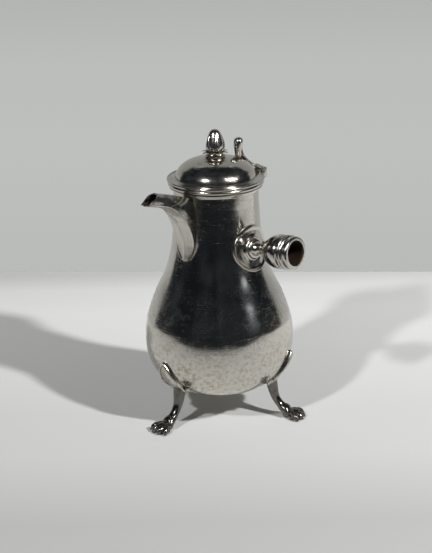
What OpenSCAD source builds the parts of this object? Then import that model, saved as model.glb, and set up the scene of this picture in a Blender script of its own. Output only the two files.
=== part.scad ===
// Silver chocolate pot on three paw feet, with a hinged lid, a finial that swings aside from
// the hole for the stirring rod, a covered beak and a side socket for a turned handle.
// The pot's axis is Z and it stands on Z = 0. The beak points along -Y and the socket along +X.
// A direction round the pot is an azimuth in degrees from -Y, growing towards +X.

/* [Body] */
// Height of the mouth above the table
mouth_z = 195.6; // [186:0.1:212]
// Outer radius of the neck
neck_r = 33.6; // [31:0.1:37]
// Largest outer radius of the belly
belly_r = 59.2; // [55:0.1:64]
// Height of the belly's widest place
belly_z = 69.3; // [65:0.1:77]
// Height of the rounded bottom above the table
bottom_z = 21.3; // [19:0.1:27]
// Thickness of the raised silver
wall = 1.0; // [0.8:0.1:1.6]
// Radius of the pouring hole behind the beak
pour_r = 6; // [4.5:0.1:7]

/* [Mouth moulding] */
// How far the bead stands out from the neck
rim_out = 4.3; // [3:0.1:5]
// Height of the moulding
rim_h = 7.3; // [6:0.1:9]

/* [Beak] */
// Reach of the beak from the neck to its lip
beak_reach = 48.2; // [42:0.1:54]
// Length of the beak from the mouth's level down to the tip of its drop
beak_drop = 58.3; // [52:0.1:64]
// Half width of the beak's front panel at its widest
beak_half_w = 9.8; // [8:0.1:11]
// Thickness of the beak's walls
beak_wall = 1.2; // [0.9:0.1:1.6]

/* [Handle socket] */
// Height of the socket's axis where it leaves the neck
socket_z = 145.5; // [139:0.1:153]
// Upward tilt of the socket in degrees
socket_tilt = 5.3; // [0:0.1:10]
// Radius of the round boss on the body
boss_r = 18.3; // [17:0.1:20]
// Distance from the neck to the socket's mouth
socket_len = 44.5; // [41:0.5:50]
// Largest radius of the socket's bulb
bulb_r = 13.4; // [12.4:0.1:15]
// Radius of the stem between boss and bulb
stem_r = 4.4; // [3.5:0.1:6]
// Radius of the bore that takes the wooden handle
bore_r = 9.8; // [8:0.1:10.5]
// Depth of that bore
bore_depth = 20; // [16:0.5:22]

/* [Legs] */
// Azimuth of the first leg, near the beak
leg_azimuth = -7.5; // [-15:0.5:15]
// Distance from the pot's axis to the middle of a sole
sole_rho = 62.5; // [58:0.5:66]
// Half width of a leg at its narrowest
ankle_r = 3.2; // [2.6:0.1:3.8]
// Half width of a shield plate
plate_half_w = 10.6; // [9:0.1:12]
// Height of a shield plate
plate_h = 33; // [28:0.5:36]
// How far a shield plate's field stands off the body
plate_t = 1.3; // [1:0.1:2]

/* [Lid] */
// Gap between the closed lid and the mouth
lid_gap = 0.2; // [0.15:0.05:0.5]
// Thickness of the lid's flange
flange_t = 1.5; // [1.2:0.1:2.5]
// How far the flange reaches beyond the mouth's bead
flange_over = 0.6; // [0.2:0.1:1.2]
// Radius of the dome at its foot
dome_r = 31.7; // [29:0.1:32]
// Height of the dome above the flange
dome_h = 16.4; // [12:0.1:20]
// Thickness of the lid's silver
lid_wall = 1.0; // [0.8:0.1:1.4]
// Depth of the bezel that steadies the lid in the neck
bezel_h = 5; // [4:0.1:7]
// Gap between the bezel and the neck, which the swing of the lid needs
bezel_gap = 0.6; // [0.5:0.1:1]
// Radius of the hole for the stirring rod
rod_r = 6; // [5:0.1:6.5]

/* [Hinge] */
// Azimuth of the hinge
hinge_azimuth = 159; // [145:1:170]
// Radius of the hinge barrel
barrel_r = 2; // [1.8:0.1:2.5]
// Length of the hinge barrel
barrel_len = 13; // [11:0.5:16]
// Radius of the hinge pin
pin_r = 0.9; // [0.7:0.05:1]
// Radial clearance of the lid's knuckle on the pin, and of the finial's cover on its pivot
running = 0.06; // [0.03:0.01:0.1]
// Height of the thumbpiece's head above the flange
thumb_h = 29; // [24:0.5:33]

/* [Finial] */
// Azimuth of the finial's pivot
pivot_azimuth = 223; // [210:1:235]
// Distance from the lid's centre to the finial's pivot
pivot_rho = 12; // [11.5:0.1:13]
// Radius of the pivot's shaft
pivot_r = 1.5; // [1.2:0.1:1.8]
// Radius of the disc that covers the rod's hole
cover_r = 7.8; // [7.2:0.1:8.5]
// Radius of the collar of leaves at the leaves' tips
collar_r = 11; // [9.5:0.1:12]
// Number of leaves in the collar
leaf_count = 8; // [6:1:12]
// Largest radius of the bud
bud_r = 7; // [5.8:0.1:7.8]
// Height of the bud above its collar
bud_h = 17.7; // [14:0.1:20]

/* [Hidden] */
$fn = 96;
soft_fn = 20;
eps = 0.01;
silver = [0.80, 0.79, 0.77];

rim_r = neck_r + rim_out;
flange_r = rim_r + flange_over;
flange_z = mouth_z + lid_gap;
flange_top = flange_z + flange_t;
crown_z = flange_top + dome_h;
hinge_rho = flange_r + barrel_r;
hinge_z = flange_top + 1.5;
solder = 0.02;

// Point on a curve through four neighbours; it also blends whole lists of points
function along(p0, p1, p2, p3, t) =
    0.5 * (2 * p1 + (p2 - p0) * t + (2 * p0 - 5 * p1 + 4 * p2 - p3) * t * t
        + (3 * p1 - p0 - 3 * p2 + p3) * t * t * t);
function smooth(p, steps) = concat(
    [for (i = [0:len(p) - 2]) for (s = [0:steps - 1])
        along(p[max(i - 1, 0)], p[i], p[i + 1], p[min(i + 2, len(p) - 1)], s / steps)],
    [p[len(p) - 1]]);
function reversed(p) = [for (i = [len(p) - 1:-1:0]) p[i]];
function centre_of(p, i = 0) = i == len(p) - 1 ? p[i] / len(p) : p[i] / len(p) + centre_of(p, i + 1);
function unit(v) = v / norm(v);
// An outline moved sideways by d, to the left of its own direction
function shifted(p, d) = [for (i = [0:len(p) - 1])
    let (t = unit(p[min(i + 1, len(p) - 1)] - p[max(i - 1, 0)]))
    [max(0, p[i].x - (i == 0 ? 0 : d * t.y)), p[i].y + (i == len(p) - 1 ? 0 : d * t.x)]];
// Round arc from one angle to another, as outline points
function arc(c, r, a0, a1, steps = 8) = [for (i = [0:steps])
    let (a = a0 + (a1 - a0) * i / steps) [c.x + r * cos(a), c.y + r * sin(a)]];

// Solid through rings of points, each ring with as many points as the next
module loft(rings) {
    n = len(rings[0]);
    m = len(rings);
    points = concat([for (r = rings) each r], [centre_of(rings[0]), centre_of(rings[m - 1])]);
    sides = [for (i = [0:m - 2]) for (j = [0:n - 1]) let (k = (j + 1) % n)
        each [[i * n + j, (i + 1) * n + j, i * n + k], [i * n + k, (i + 1) * n + j, (i + 1) * n + k]]];
    low_cap = [for (j = [0:n - 1]) [n * m, j, (j + 1) % n]];
    high_cap = [for (j = [0:n - 1]) [n * m + 1, (m - 1) * n + (j + 1) % n, (m - 1) * n + j]];
    polyhedron(points, concat(sides, low_cap, high_cap), convexity = 8);
}

// Ring of points round a centre line point [x, z] of the plane y = 0, with half sizes across and along y
function oval(c, across, wide, lean, count = 16) = [for (i = [0:count - 1])
    let (a = 360 * i / count, u = across * cos(a))
    [c.x + u * cos(lean), wide * sin(a), c.y + u * sin(lean)]];

module at_azimuth(a) {
    rotate([0, 0, a - 90]) children();
}

module turned(outline) {
    rotate_extrude(convexity = 6) polygon(outline);
}

// Body

// Share of the step from neck to belly, at shares of the height from belly to neck
shoulder = [[0, 1], [0.08, 0.972], [0.157, 0.9], [0.314, 0.66], [0.469, 0.345], [0.623, 0.15],
    [0.775, 0.055], [0.9, 0.02], [1, 0]];
neck_len = 17;
neck_foot_z = mouth_z - neck_len;
bottom_power = 0.8;
bottom_steps = 12;
body_outline = concat(
    [for (i = [0:bottom_steps - 1]) let (a = 90 * i / bottom_steps)
        [belly_r * pow(sin(a), bottom_power),
            belly_z - (belly_z - bottom_z) * pow(cos(a), bottom_power)]],
    smooth([for (s = shoulder)
        [neck_r + (belly_r - neck_r) * s[1], belly_z + (neck_foot_z - belly_z) * s[0]]], 3),
    [[neck_r, mouth_z]]);

// Everything inside the body's outer surface, or inside that surface moved out by some distance
module body_envelope(out = 0) {
    skin = shifted(body_outline, -out);
    turned(concat(skin, [[0, skin[len(skin) - 1].y]]));
}

module vessel_body() {
    color(silver)
        difference() {
            turned(concat(body_outline, reversed(shifted(body_outline, wall))));
            translate([0, -neck_r + 4 * wall, pour_z]) rotate([90, 0, 0]) cylinder(r = pour_r, h = 12 * wall);
        }
}

bead_r = 1.7;
module mouth_rim() {
    step_r = rim_r - 1.2;
    color(silver)
        turned(concat(
            [[neck_r, mouth_z - rim_h], [neck_r + 0.5, mouth_z - rim_h]],
            arc([neck_r + 0.5 + 2.2, mouth_z - rim_h], 2.2, 180, 90, 6),
            [[step_r, mouth_z - rim_h + 2.2], [step_r, mouth_z - 2 * bead_r - 0.7],
                [step_r - 0.8, mouth_z - 2 * bead_r - 0.3]],
            arc([rim_r - bead_r, mouth_z - bead_r], bead_r, -90, 90, 10),
            [[neck_r, mouth_z]]));
}

// Beak

// Each station gives its keel, its panel's edge, its upper side and its top, as shares of the
// reach beyond the neck and of the drop below the mouth, and the last three have a half width as a
// share of the panel's
beak_stations = [
    [[1.005, 0.055], [0.995, 0.045, 0.41], [0.824, -0.041, 0.45], [0.719, -0.065, 0.275]],
    [[0.828, 0.093], [0.766, 0.069, 0.57], [0.693, 0.012, 0.57], [0.641, -0.045, 0.26]],
    [[0.651, 0.137], [0.600, 0.111, 0.75], [0.558, 0.046, 0.65], [0.527, -0.021, 0.30]],
    [[0.515, 0.202], [0.465, 0.177, 0.86], [0.423, 0.094, 0.73], [0.392, 0.015, 0.32]],
    [[0.382, 0.280], [0.345, 0.269, 0.90], [0.288, 0.160, 0.77], [0.257, 0.055, 0.34]],
    [[0.292, 0.365], [0.262, 0.360, 0.91], [0.174, 0.211, 0.77], [0.133, 0.091, 0.35]],
    [[0.215, 0.477], [0.188, 0.472, 0.94], [0.070, 0.262, 0.75], [0.019, 0.125, 0.36]],
    [[0.160, 0.597], [0.130, 0.597, 1.00], [-0.012, 0.331, 0.75], [-0.075, 0.177, 0.36]],
    [[0.125, 0.743], [0.098, 0.734, 0.98], [-0.070, 0.468, 0.75], [-0.130, 0.297, 0.36]],
    [[0.118, 0.863], [0.104, 0.850, 0.76], [-0.090, 0.605, 0.60], [-0.150, 0.434, 0.30]],
    [[0.124, 0.974], [0.118, 0.955, 0.38], [-0.090, 0.726, 0.30], [-0.150, 0.554, 0.16]]];
panel_hollow = 0.7;
function beak_point(s, side) = [side * (len(s) > 2 ? s[2] : 0) * beak_half_w,
    -neck_r - s[0] * beak_reach, mouth_z - s[1] * beak_drop];
// Point between keel and edge, pressed in from the straight line
function hollow_point(k, e, t) = (k + e) / 2 + unit(t - (k + e) / 2) * panel_hollow;
function beak_ring(s) =
    let (k = beak_point(s[0], 0), er = beak_point(s[1], 1), el = beak_point(s[1], -1),
        tr = beak_point(s[3], 1), tl = beak_point(s[3], -1))
    [k, hollow_point(k, er, tr), er, beak_point(s[2], 1), tr,
        tl, beak_point(s[2], -1), el, hollow_point(k, el, tl)];
beak_rings = smooth([for (s = beak_stations) beak_ring(s)], 3);
// The channel is the same rings drawn in by the wall, and runs out past the lip
function drawn_in(ring) = let (c = centre_of(ring)) [for (p = ring) p + unit(c - p) * beak_wall * 1.25];
channel_last = 24;
channel_inner = [for (i = [0:channel_last]) drawn_in(beak_rings[i])];
channel_rings = concat([2.5 * channel_inner[0] - 1.5 * channel_inner[2]], channel_inner);
pour_z = mouth_z - 0.3 * beak_drop;

module beak_spout() {
    color(silver)
        difference() {
            loft(reversed(beak_rings));
            loft(reversed(channel_rings));
            body_envelope(solder);
        }
}

// Handle socket

socket_root = neck_r + 1.2;
module at_socket() {
    translate([socket_root, 0, socket_z]) rotate([0, 90 - socket_tilt, 0]) children();
}

boss_bead_w = 2;
boss_bead_h = 2.2;
boss_step_r = 0.52 * boss_r;
boss_top = 0.26 * socket_len;
module handle_boss() {
    color(silver) {
        difference() {
            intersection() {
                at_socket() translate([0, 0, -socket_root / 2]) cylinder(r = boss_r, h = socket_root);
                union() {
                    body_envelope(boss_bead_h * 0.45);
                    difference() {
                        body_envelope(boss_bead_h);
                        at_socket() translate([0, 0, -socket_root / 2])
                            cylinder(r = boss_r - boss_bead_w, h = socket_root * 2);
                    }
                }
            }
            body_envelope(solder);
            at_socket() turned(boss_core);
        }
        difference() {
            at_socket() turned(boss_core);
            body_envelope(solder);
        }
    }
}
// Stepped rings and trumpet of the boss, from inside the wall to the stem
boss_core = concat(
    [[0, -8], [boss_step_r, -8], [boss_step_r, 2.6]],
    arc([boss_step_r - 0.8, 2.6], 0.8, 0, 90, 5),
    [[boss_step_r - 1.9, 3.4], [boss_step_r - 1.9, 4.2]],
    arc([boss_step_r - 2.7, 4.2], 0.8, 0, 90, 5),
    smooth([[boss_step_r - 3.4, 5.1], [stem_r + 1.3, 7], [stem_r + 0.4, 9.2], [stem_r, boss_top]], 3),
    [[0, boss_top]]);

mouth_ring_w = 4.2;
module handle_socket() {
    shell_end = socket_len - mouth_ring_w;
    bulb_len = shell_end - boss_top;
    groove = 0.8;
    ring = 0.035 * bulb_len;
    color(silver)
        at_socket() difference() {
            turned(concat(
                [[0, boss_top]],
                smooth([for (s = [[0, stem_r], [0.07, stem_r + 0.8], [0.25, bulb_r - 4.2], [0.435, bulb_r - 1.2],
                    [0.607, bulb_r], [0.733, bulb_r - 0.3]]) [s[1], boss_top + s[0] * bulb_len]], 4),
                [for (s = [0.756, 0.8]) [bulb_r - groove, boss_top + s * bulb_len]],
                arc([bulb_r - 0.9, boss_top + 0.848 * bulb_len], ring, -70, 70, 6),
                arc([bulb_r - 0.9, boss_top + 0.94 * bulb_len], ring, -70, 70, 6),
                [[bulb_r - groove, boss_top + 0.985 * bulb_len], [bulb_r - groove, shell_end], [0, shell_end]]));
            translate([0, 0, socket_len - bore_depth]) cylinder(r = bore_r, h = bore_depth);
        }
}

module socket_mouth_ring() {
    lip = 1.4;
    out = bulb_r - 0.5;
    color(silver)
        at_socket() difference() {
            turned(concat(
                [[0, socket_len - mouth_ring_w], [out - 0.9, socket_len - mouth_ring_w],
                    [out, socket_len - mouth_ring_w + 0.9]],
                arc([out - lip, socket_len - lip], lip, 0, 90, 6),
                [[0, socket_len]]));
            translate([0, 0, socket_len - bore_depth]) cylinder(r = bore_r, h = 2 * bore_depth);
        }
}

// Legs

leg_azimuths = [leg_azimuth, leg_azimuth + 120, leg_azimuth + 240];
// Centre line of a leg's shaft as shares of the sole's distance and of the bottom's height, with half
// sizes across and wide and the section's lean
shaft_line = [for (s = [
    [0.680, 1.710, 4.4, 6.6, -10],
    [0.694, 1.420, 4.5, 6.1, -6],
    [0.710, 1.155, 4.2, 4.9, 0],
    [0.730, 0.912, ankle_r + 0.4, 4.1, 8],
    [0.766, 0.677, ankle_r, 3.8, 18],
    [0.816, 0.496, ankle_r + 0.1, 3.9, 30],
    [0.867, 0.372, ankle_r + 1, 4.9, 44],
    [0.915, 0.265, 3.4, 5.8, 60]]) [[s[0] * sole_rho, s[1] * bottom_z], s[2], s[3], s[4]]];
shaft_rings = reversed(smooth([for (s = shaft_line) oval(s[0], s[1], s[2], s[3])], 2));
toe_angles = [-38, -13, 13, 38];
toe_r = 2.7;
toe_reach = 10;
toe_start = -6;
module toe(turn) {
    translate([sole_rho + toe_start, 0, 0]) rotate([0, 0, turn]) hull() {
        translate([toe_reach * 0.35, 0, 5.2]) sphere(r = toe_r * 0.85, $fn = soft_fn);
        translate([toe_reach + 1.6, 0, 3.1]) sphere(r = toe_r * 0.95, $fn = soft_fn);
        translate([toe_reach + 2.6, 0, 1.9]) sphere(r = toe_r * 0.8, $fn = soft_fn);
    }
}
module paw() {
    pad_h = 2.2;
    intersection() {
        union() {
            for (turn = toe_angles) toe(turn);
            hull() {
                translate([sole_rho - 6.4, 0, 3.1]) sphere(r = 3.9, $fn = soft_fn);
                translate([sole_rho + 1, 0, 3.4]) sphere(r = 4.6, $fn = soft_fn);
                translate([sole_rho - 1, 0, 0]) cylinder(r = 6.2, h = pad_h, $fn = soft_fn);
            }
        }
        translate([0, -sole_rho, 0]) cube([2 * sole_rho, 2 * sole_rho, sole_rho]);
    }
}
module leg(i) {
    color(silver)
        at_azimuth(leg_azimuths[i]) difference() {
            union() {
                loft(shaft_rings);
                paw();
            }
            body_envelope(solder);
        }
}

// Shield plate outline: half width at places up the plate, as shares of its half width and height
shield = [[0, -0.50], [0.42, -0.48], [0.82, -0.40], [1.0, -0.26], [0.93, -0.06], [0.74, 0.14],
    [0.46, 0.33], [0.16, 0.46], [0, 0.50]];
plate_drop = 32;
plate_z = bottom_z + 0.65 * plate_h;
plate_rho = belly_r - 7;
module shield_outline(inset = 0) {
    side = smooth([for (s = shield) [s[0] * (plate_half_w - inset), s[1] * (plate_h - 2.4 * inset)]], 3);
    polygon(concat(side, reversed([for (p = side) [-p.x, p.y]])));
}
module at_plate(i) {
    at_azimuth(leg_azimuths[i]) translate([plate_rho, 0, plate_z]) rotate([0, 90 + plate_drop, 0])
        rotate([0, 0, -90]) translate([0, 0, -0.36 * plate_h]) children();
}
plate_edge = 1.3;
curl_r = 2.1;
module leg_plate(i) {
    color(silver)
        difference() {
            union() {
                intersection() {
                    at_plate(i) linear_extrude(1.2 * plate_h) mirror([0, 1]) shield_outline();
                    body_envelope(plate_t);
                }
                intersection() {
                    at_plate(i) linear_extrude(1.2 * plate_h) difference() {
                        mirror([0, 1]) shield_outline();
                        mirror([0, 1]) shield_outline(plate_edge);
                    }
                    body_envelope(plate_t * 2);
                }
                // The leafy curl at each lower corner
                for (side = [-1, 1]) intersection() {
                    at_plate(i) linear_extrude(1.2 * plate_h) hull() {
                        translate([side * (plate_half_w - 0.6), 0.40 * plate_h]) circle(r = curl_r);
                        translate([side * (plate_half_w + 2.4), 0.33 * plate_h]) circle(r = curl_r);
                        translate([side * (plate_half_w + 5), 0.21 * plate_h]) circle(r = curl_r * 0.4);
                    }
                    body_envelope(plate_t * 1.8);
                }
            }
            body_envelope(solder);
            at_azimuth(leg_azimuths[i]) loft(shaft_rings);
        }
}

// Lid

dome_power = [0.833, 0.952];
dome_steps = 14;
// Height of the dome's inner side at a distance from its axis
function dome_inner_z(r) = flange_z + (dome_h + flange_t - lid_wall)
    * pow(sin(acos(pow(r / (dome_r - lid_wall), 1 / dome_power[0]))), dome_power[1]);
function dome_outline(r, h, z0) = [for (i = [0:dome_steps]) let (a = 90 * i / dome_steps)
    [r * pow(cos(a), dome_power[0]), z0 + h * pow(sin(a), dome_power[1])]];
crown_hole_r = rod_r + lid_wall + 0.2;
module lid_dome() {
    color(silver)
        difference() {
            union() {
                turned(concat([[flange_r - 1.2, flange_z], [flange_r - 1.2, flange_top]],
                    dome_outline(dome_r, dome_h, flange_top),
                    reversed(dome_outline(dome_r - lid_wall, dome_h + flange_t - lid_wall, flange_z))));
            }
            translate([0, 0, flange_top]) cylinder(r = crown_hole_r, h = dome_h + 2);
            at_azimuth(pivot_azimuth) translate([pivot_rho, 0, flange_top])
                cylinder(r = pivot_r, h = dome_h + 2);
        }
}

// Everything under the dome's outer surface
module lid_envelope() {
    turned(concat([[0, flange_z]], dome_outline(dome_r + solder, dome_h + solder, flange_top)));
}

module lid_edge_moulding() {
    edge_r = 0.95;
    color(silver)
        turned(concat([[flange_r - 1.2, flange_z], [flange_r - 0.5, flange_z]],
            arc([flange_r - edge_r, flange_z + edge_r], edge_r, -60, 100, 8),
            [[flange_r - 1.2, flange_top + 0.3]]));
}

module lid_bezel() {
    out = neck_r - wall - bezel_gap;
    color(silver)
        turned([[out - lid_wall, flange_z], [out - lid_wall, flange_z - bezel_h],
            [out - 0.4, flange_z - bezel_h], [out, flange_z - bezel_h + 0.8], [out, flange_z]]);
}

collar_depth = 4;
module rod_hole_collar() {
    color(silver)
        difference() {
            translate([0, 0, crown_z - collar_depth]) cylinder(r = crown_hole_r, h = collar_depth);
            translate([0, 0, crown_z - 2 * collar_depth]) cylinder(r = rod_r, h = 3 * collar_depth);
        }
}

cover_gap = 0.2;
cover_t = 1.0;
cover_z = crown_z + cover_gap;
pivot_head_r = 2.5;
pivot_head_h = 0.7;
washer_t = 0.7;
// The washer's rim meets the dome's inner side, less the depth of the dome's facets
washer_z = dome_inner_z(pivot_rho + pivot_head_r) - 0.1 - washer_t;
module finial_pivot() {
    top = cover_z + cover_t + 0.1;
    foot = washer_z - 0.6;
    color(silver)
        at_azimuth(pivot_azimuth) translate([pivot_rho, 0, 0]) {
            translate([0, 0, foot]) cylinder(r = pivot_r, h = top - foot + eps);
            turned([[0, top], [pivot_head_r, top], [pivot_head_r - 0.3, top + 0.4], [1.2, top + pivot_head_h],
                [0, top + pivot_head_h]]);
        }
}

module finial_pivot_washer() {
    color(silver)
        at_azimuth(pivot_azimuth) translate([pivot_rho, 0, washer_z]) difference() {
            cylinder(r = pivot_head_r, h = washer_t);
            translate([0, 0, -1]) cylinder(r = pivot_r, h = washer_t + 2);
        }
}

// Hinge

module at_hinge() {
    at_azimuth(hinge_azimuth) translate([hinge_rho, 0, hinge_z]) rotate([90, 0, 0]) children();
}
knuckle_gap = 0.15;
lid_knuckle = 0.4 * barrel_len;
side_knuckle = (barrel_len - lid_knuckle) / 2 - knuckle_gap;
module hinge_pot_knuckles() {
    color(silver)
        difference() {
            union() for (side = [-1, 1]) {
                shift = side * (lid_knuckle / 2 + knuckle_gap + side_knuckle / 2);
                at_hinge() translate([0, 0, shift - side_knuckle / 2]) cylinder(r = barrel_r, h = side_knuckle);
                at_azimuth(hinge_azimuth) {
                    translate([flange_r + 0.25, shift - side_knuckle / 2, mouth_z - 3.2])
                        cube([2 * barrel_r - 0.5, side_knuckle, hinge_z - mouth_z + 3.2]);
                    translate([rim_r - 3, shift - side_knuckle / 2, mouth_z - 3.2])
                        cube([flange_over + 4, side_knuckle, 2.9]);
                }
            }
            at_hinge() translate([0, 0, -barrel_len]) cylinder(r = pin_r, h = 2 * barrel_len);
            mouth_rim_solid();
        }
}
// The rim's own shape filled to the axis, which the knuckles are cut to fit
module mouth_rim_solid() {
    mouth_rim();
    translate([0, 0, mouth_z - rim_h]) cylinder(r = neck_r + eps, h = rim_h + 0.001);
}

module hinge_pin() {
    head = 0.5;
    color(silver)
        at_hinge() {
            translate([0, 0, -barrel_len / 2 - head]) cylinder(r = pin_r, h = barrel_len + 2 * head);
        }
}

// Strap from the lid's knuckle over the dome's shoulder to the thumbpiece
thumb_rho = 20.6;
thumb_foot_z = crown_z - 3.6;
strap_line = [
    [[hinge_rho - 0.6, hinge_z + 1.0], 1.0, 2.2, 55],
    [[hinge_rho - 2.9, hinge_z + 1.2], 1.0, 2.3, 55],
    [[hinge_rho - 7.1, hinge_z + 3.9], 1.05, 2.4, 54],
    [[hinge_rho - 12.4, hinge_z + 8.0], 1.15, 2.5, 48],
    [[hinge_rho - 15.6, hinge_z + 11.6], 1.2, 2.6, 38],
    [[hinge_rho - 17.3, hinge_z + 15.0], 1.2, 2.5, 26],
    [[thumb_rho + 2.0, hinge_z + 18.5], 1.1, 2.2, 16]];
module hinge_strap() {
    color(silver) {
        difference() {
            union() {
                at_hinge() translate([0, 0, -lid_knuckle / 2]) cylinder(r = barrel_r, h = lid_knuckle);
                at_azimuth(hinge_azimuth) difference() {
                    loft(smooth([for (s = strap_line) oval(s[0], s[1], s[2], s[3], 12)], 2));
                    loft(thumb_rings);
                    lid_envelope();
                }
            }
            at_hinge() translate([0, 0, -lid_knuckle]) cylinder(r = pin_r + running, h = 2 * lid_knuckle);
        }
    }
}

// Club-shaped thumbpiece: place up its height, then half sizes across and wide
thumb_line = [
    [[thumb_rho + 0.8, 0.00], 2.9, 3.6, 0],
    [[thumb_rho + 0.4, 0.10], 2.7, 2.6, 0],
    [[thumb_rho, 0.25], 2.7, 2.3, 0],
    [[thumb_rho - 0.2, 0.45], 3.0, 2.9, 0],
    [[thumb_rho - 0.1, 0.66], 3.6, 3.7, 0],
    [[thumb_rho + 0.2, 0.84], 3.7, 3.8, 0],
    [[thumb_rho + 0.4, 0.96], 2.6, 2.6, 0],
    [[thumb_rho + 0.5, 1.00], 0.8, 0.9, 0]];
thumb_top_z = flange_top + thumb_h;
thumb_rings = smooth([for (s = thumb_line)
    oval([s[0].x, thumb_foot_z - 3 + (thumb_top_z - thumb_foot_z + 3) * s[0].y], s[1], s[2], s[3])], 2);
module thumbpiece() {
    color(silver)
        difference() {
            at_azimuth(hinge_azimuth) loft(thumb_rings);
            lid_envelope();
        }
}

// Finial

module finial_cover() {
    color(silver)
        difference() {
            cover_plate();
            at_azimuth(pivot_azimuth) translate([pivot_rho, 0, cover_z - 1])
                cylinder(r = pivot_r + running, h = cover_t + 2);
            translate([0, 0, cover_z - 1]) cylinder(r = stud_r, h = cover_t + 2);
        }
}
lug_r = 2.9;
module cover_plate() {
    translate([0, 0, cover_z]) cylinder(r = cover_r, h = cover_t);
    at_azimuth(pivot_azimuth) {
        translate([pivot_rho, 0, cover_z]) cylinder(r = lug_r, h = cover_t);
        translate([0, -lug_r, cover_z]) cube([pivot_rho, 2 * lug_r, cover_t]);
    }
}

stud_r = 1.4;
foot_h = 2.0;
foot_z = cover_z + cover_t;
module finial_foot() {
    foot_r = collar_r * 0.58;
    color(silver)
        difference() {
            turned(concat([[0, foot_z], [foot_r - 1, foot_z]],
                arc([foot_r - foot_h / 2, foot_z + foot_h / 2], foot_h / 2, -90, 90, 8),
                [[0, foot_z + foot_h]]));
            translate([0, 0, foot_z - 1]) cylinder(r = stud_r, h = foot_h + 2);
        }
}

collar_z = foot_z + foot_h;
collar_t = 1.0;
// Leaves of the collar: each is a pointed leaf, and together they make one outline
leaf_points = 6;
module finial_collar() {
    inner = bud_r * 0.85;
    color(silver)
        difference() {
            translate([0, 0, collar_z]) linear_extrude(collar_t) polygon([
                for (i = [0:leaf_count - 1]) for (j = [0:leaf_points - 1])
                    let (share = j / leaf_points, a = 360 * (i + share) / leaf_count,
                        r = inner + (collar_r - inner) * pow(abs(1 - 2 * share), 1.1))
                    [r * cos(a), r * sin(a)]]);
            translate([0, 0, collar_z - 1]) cylinder(r = stud_r, h = collar_t + 2);
        }
}

bud_z = collar_z + collar_t;
sepal_count = 5;
// Bud outline: share of its radius at shares of its height
bud_outline = [[0.62, 0], [0.86, 0.07], [1.0, 0.22], [0.98, 0.38], [0.88, 0.56], [0.74, 0.74], [0.55, 0.89],
    [0.3, 0.975], [0, 1]];
sepal_line = [[0.80, 0.00], [1.06, 0.10], [1.16, 0.24], [1.10, 0.42], [0.96, 0.60], [0.80, 0.74]];
module finial_bud() {
    core = smooth([for (s = bud_outline) [s[0] * bud_r, bud_z + s[1] * bud_h]], 3);
    color(silver)
        difference() {
            union() {
                turned(concat([[0, bud_z]], core));
                for (i = [0:sepal_count - 1]) rotate([0, 0, 360 * (i + 0.5) / sepal_count])
                    loft(smooth([for (j = [0:len(sepal_line) - 1]) let (s = sepal_line[j])
                        oval([s[0] * bud_r - 1.1, bud_z + s[1] * bud_h + eps], 1.1,
                            bud_r * 0.52 * (1 - 0.16 * j), 0, 10)], 2));
            }
            translate([0, 0, bud_z - 1]) cylinder(r = stud_r, h = stud_in_bud + 1);
        }
}

stud_in_bud = 8;
module finial_stud() {
    color(silver)
        translate([0, 0, cover_z]) cylinder(r = stud_r, h = bud_z + stud_in_bud - cover_z);
}

vessel_body();
mouth_rim();
beak_spout();
handle_boss();
handle_socket();
socket_mouth_ring();
leg(0);  // leg_1
leg(1);  // leg_2
leg(2);  // leg_3
leg_plate(0);  // leg_plate_1
leg_plate(1);  // leg_plate_2
leg_plate(2);  // leg_plate_3
hinge_pot_knuckles();
hinge_pin();
lid_dome();
lid_edge_moulding();
lid_bezel();
rod_hole_collar();
finial_pivot();
finial_pivot_washer();
hinge_strap();
thumbpiece();
finial_cover();
finial_foot();
finial_collar();
finial_bud();
finial_stud();
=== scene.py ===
"""Silver chocolate pot on three paw feet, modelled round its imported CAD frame."""

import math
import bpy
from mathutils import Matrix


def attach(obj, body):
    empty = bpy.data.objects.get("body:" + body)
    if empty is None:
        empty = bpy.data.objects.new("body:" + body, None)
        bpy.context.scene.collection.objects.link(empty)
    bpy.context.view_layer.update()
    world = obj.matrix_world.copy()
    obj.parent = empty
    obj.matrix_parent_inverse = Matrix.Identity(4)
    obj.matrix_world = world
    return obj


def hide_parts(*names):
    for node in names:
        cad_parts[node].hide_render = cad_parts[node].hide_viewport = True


bl_info = {
    "name": "Silver Chocolate Pot",
    "version": (1, 0, 0),
    "blender": (4, 5, 0),
    "location": "View3D > Sidebar > Chocolate Pot",
    "description": "Models a silver chocolate pot with a hinged lid and a swinging finial",
    "category": "Object",
}

import bmesh
import bpy
from bpy.props import FloatProperty, FloatVectorProperty, IntProperty, PointerProperty
from mathutils import Matrix, Vector

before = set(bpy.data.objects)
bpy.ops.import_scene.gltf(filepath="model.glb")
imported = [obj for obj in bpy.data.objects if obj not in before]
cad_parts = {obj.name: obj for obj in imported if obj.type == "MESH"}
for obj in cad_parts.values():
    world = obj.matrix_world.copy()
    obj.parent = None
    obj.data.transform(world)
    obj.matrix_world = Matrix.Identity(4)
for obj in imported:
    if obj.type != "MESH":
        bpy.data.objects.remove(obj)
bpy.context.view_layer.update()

MM = 0.001
# A lift off a surface, in millimetres, that keeps a cut clean
TINY = 0.02


# Sizes and colours

def length(label, text, value):
    return FloatProperty(name=label, description=text, default=value * MM, unit='LENGTH', precision=5)


def angle(label, text, value):
    return FloatProperty(name=label, description=text, default=math.radians(value), subtype='ANGLE')


def number(label, text, value):
    return FloatProperty(name=label, description=text, default=value)


def colour(label, text, value):
    return FloatVectorProperty(name=label, description=text, default=value, size=3, subtype='COLOR',
                               min=0.0, max=1.0)


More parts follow.
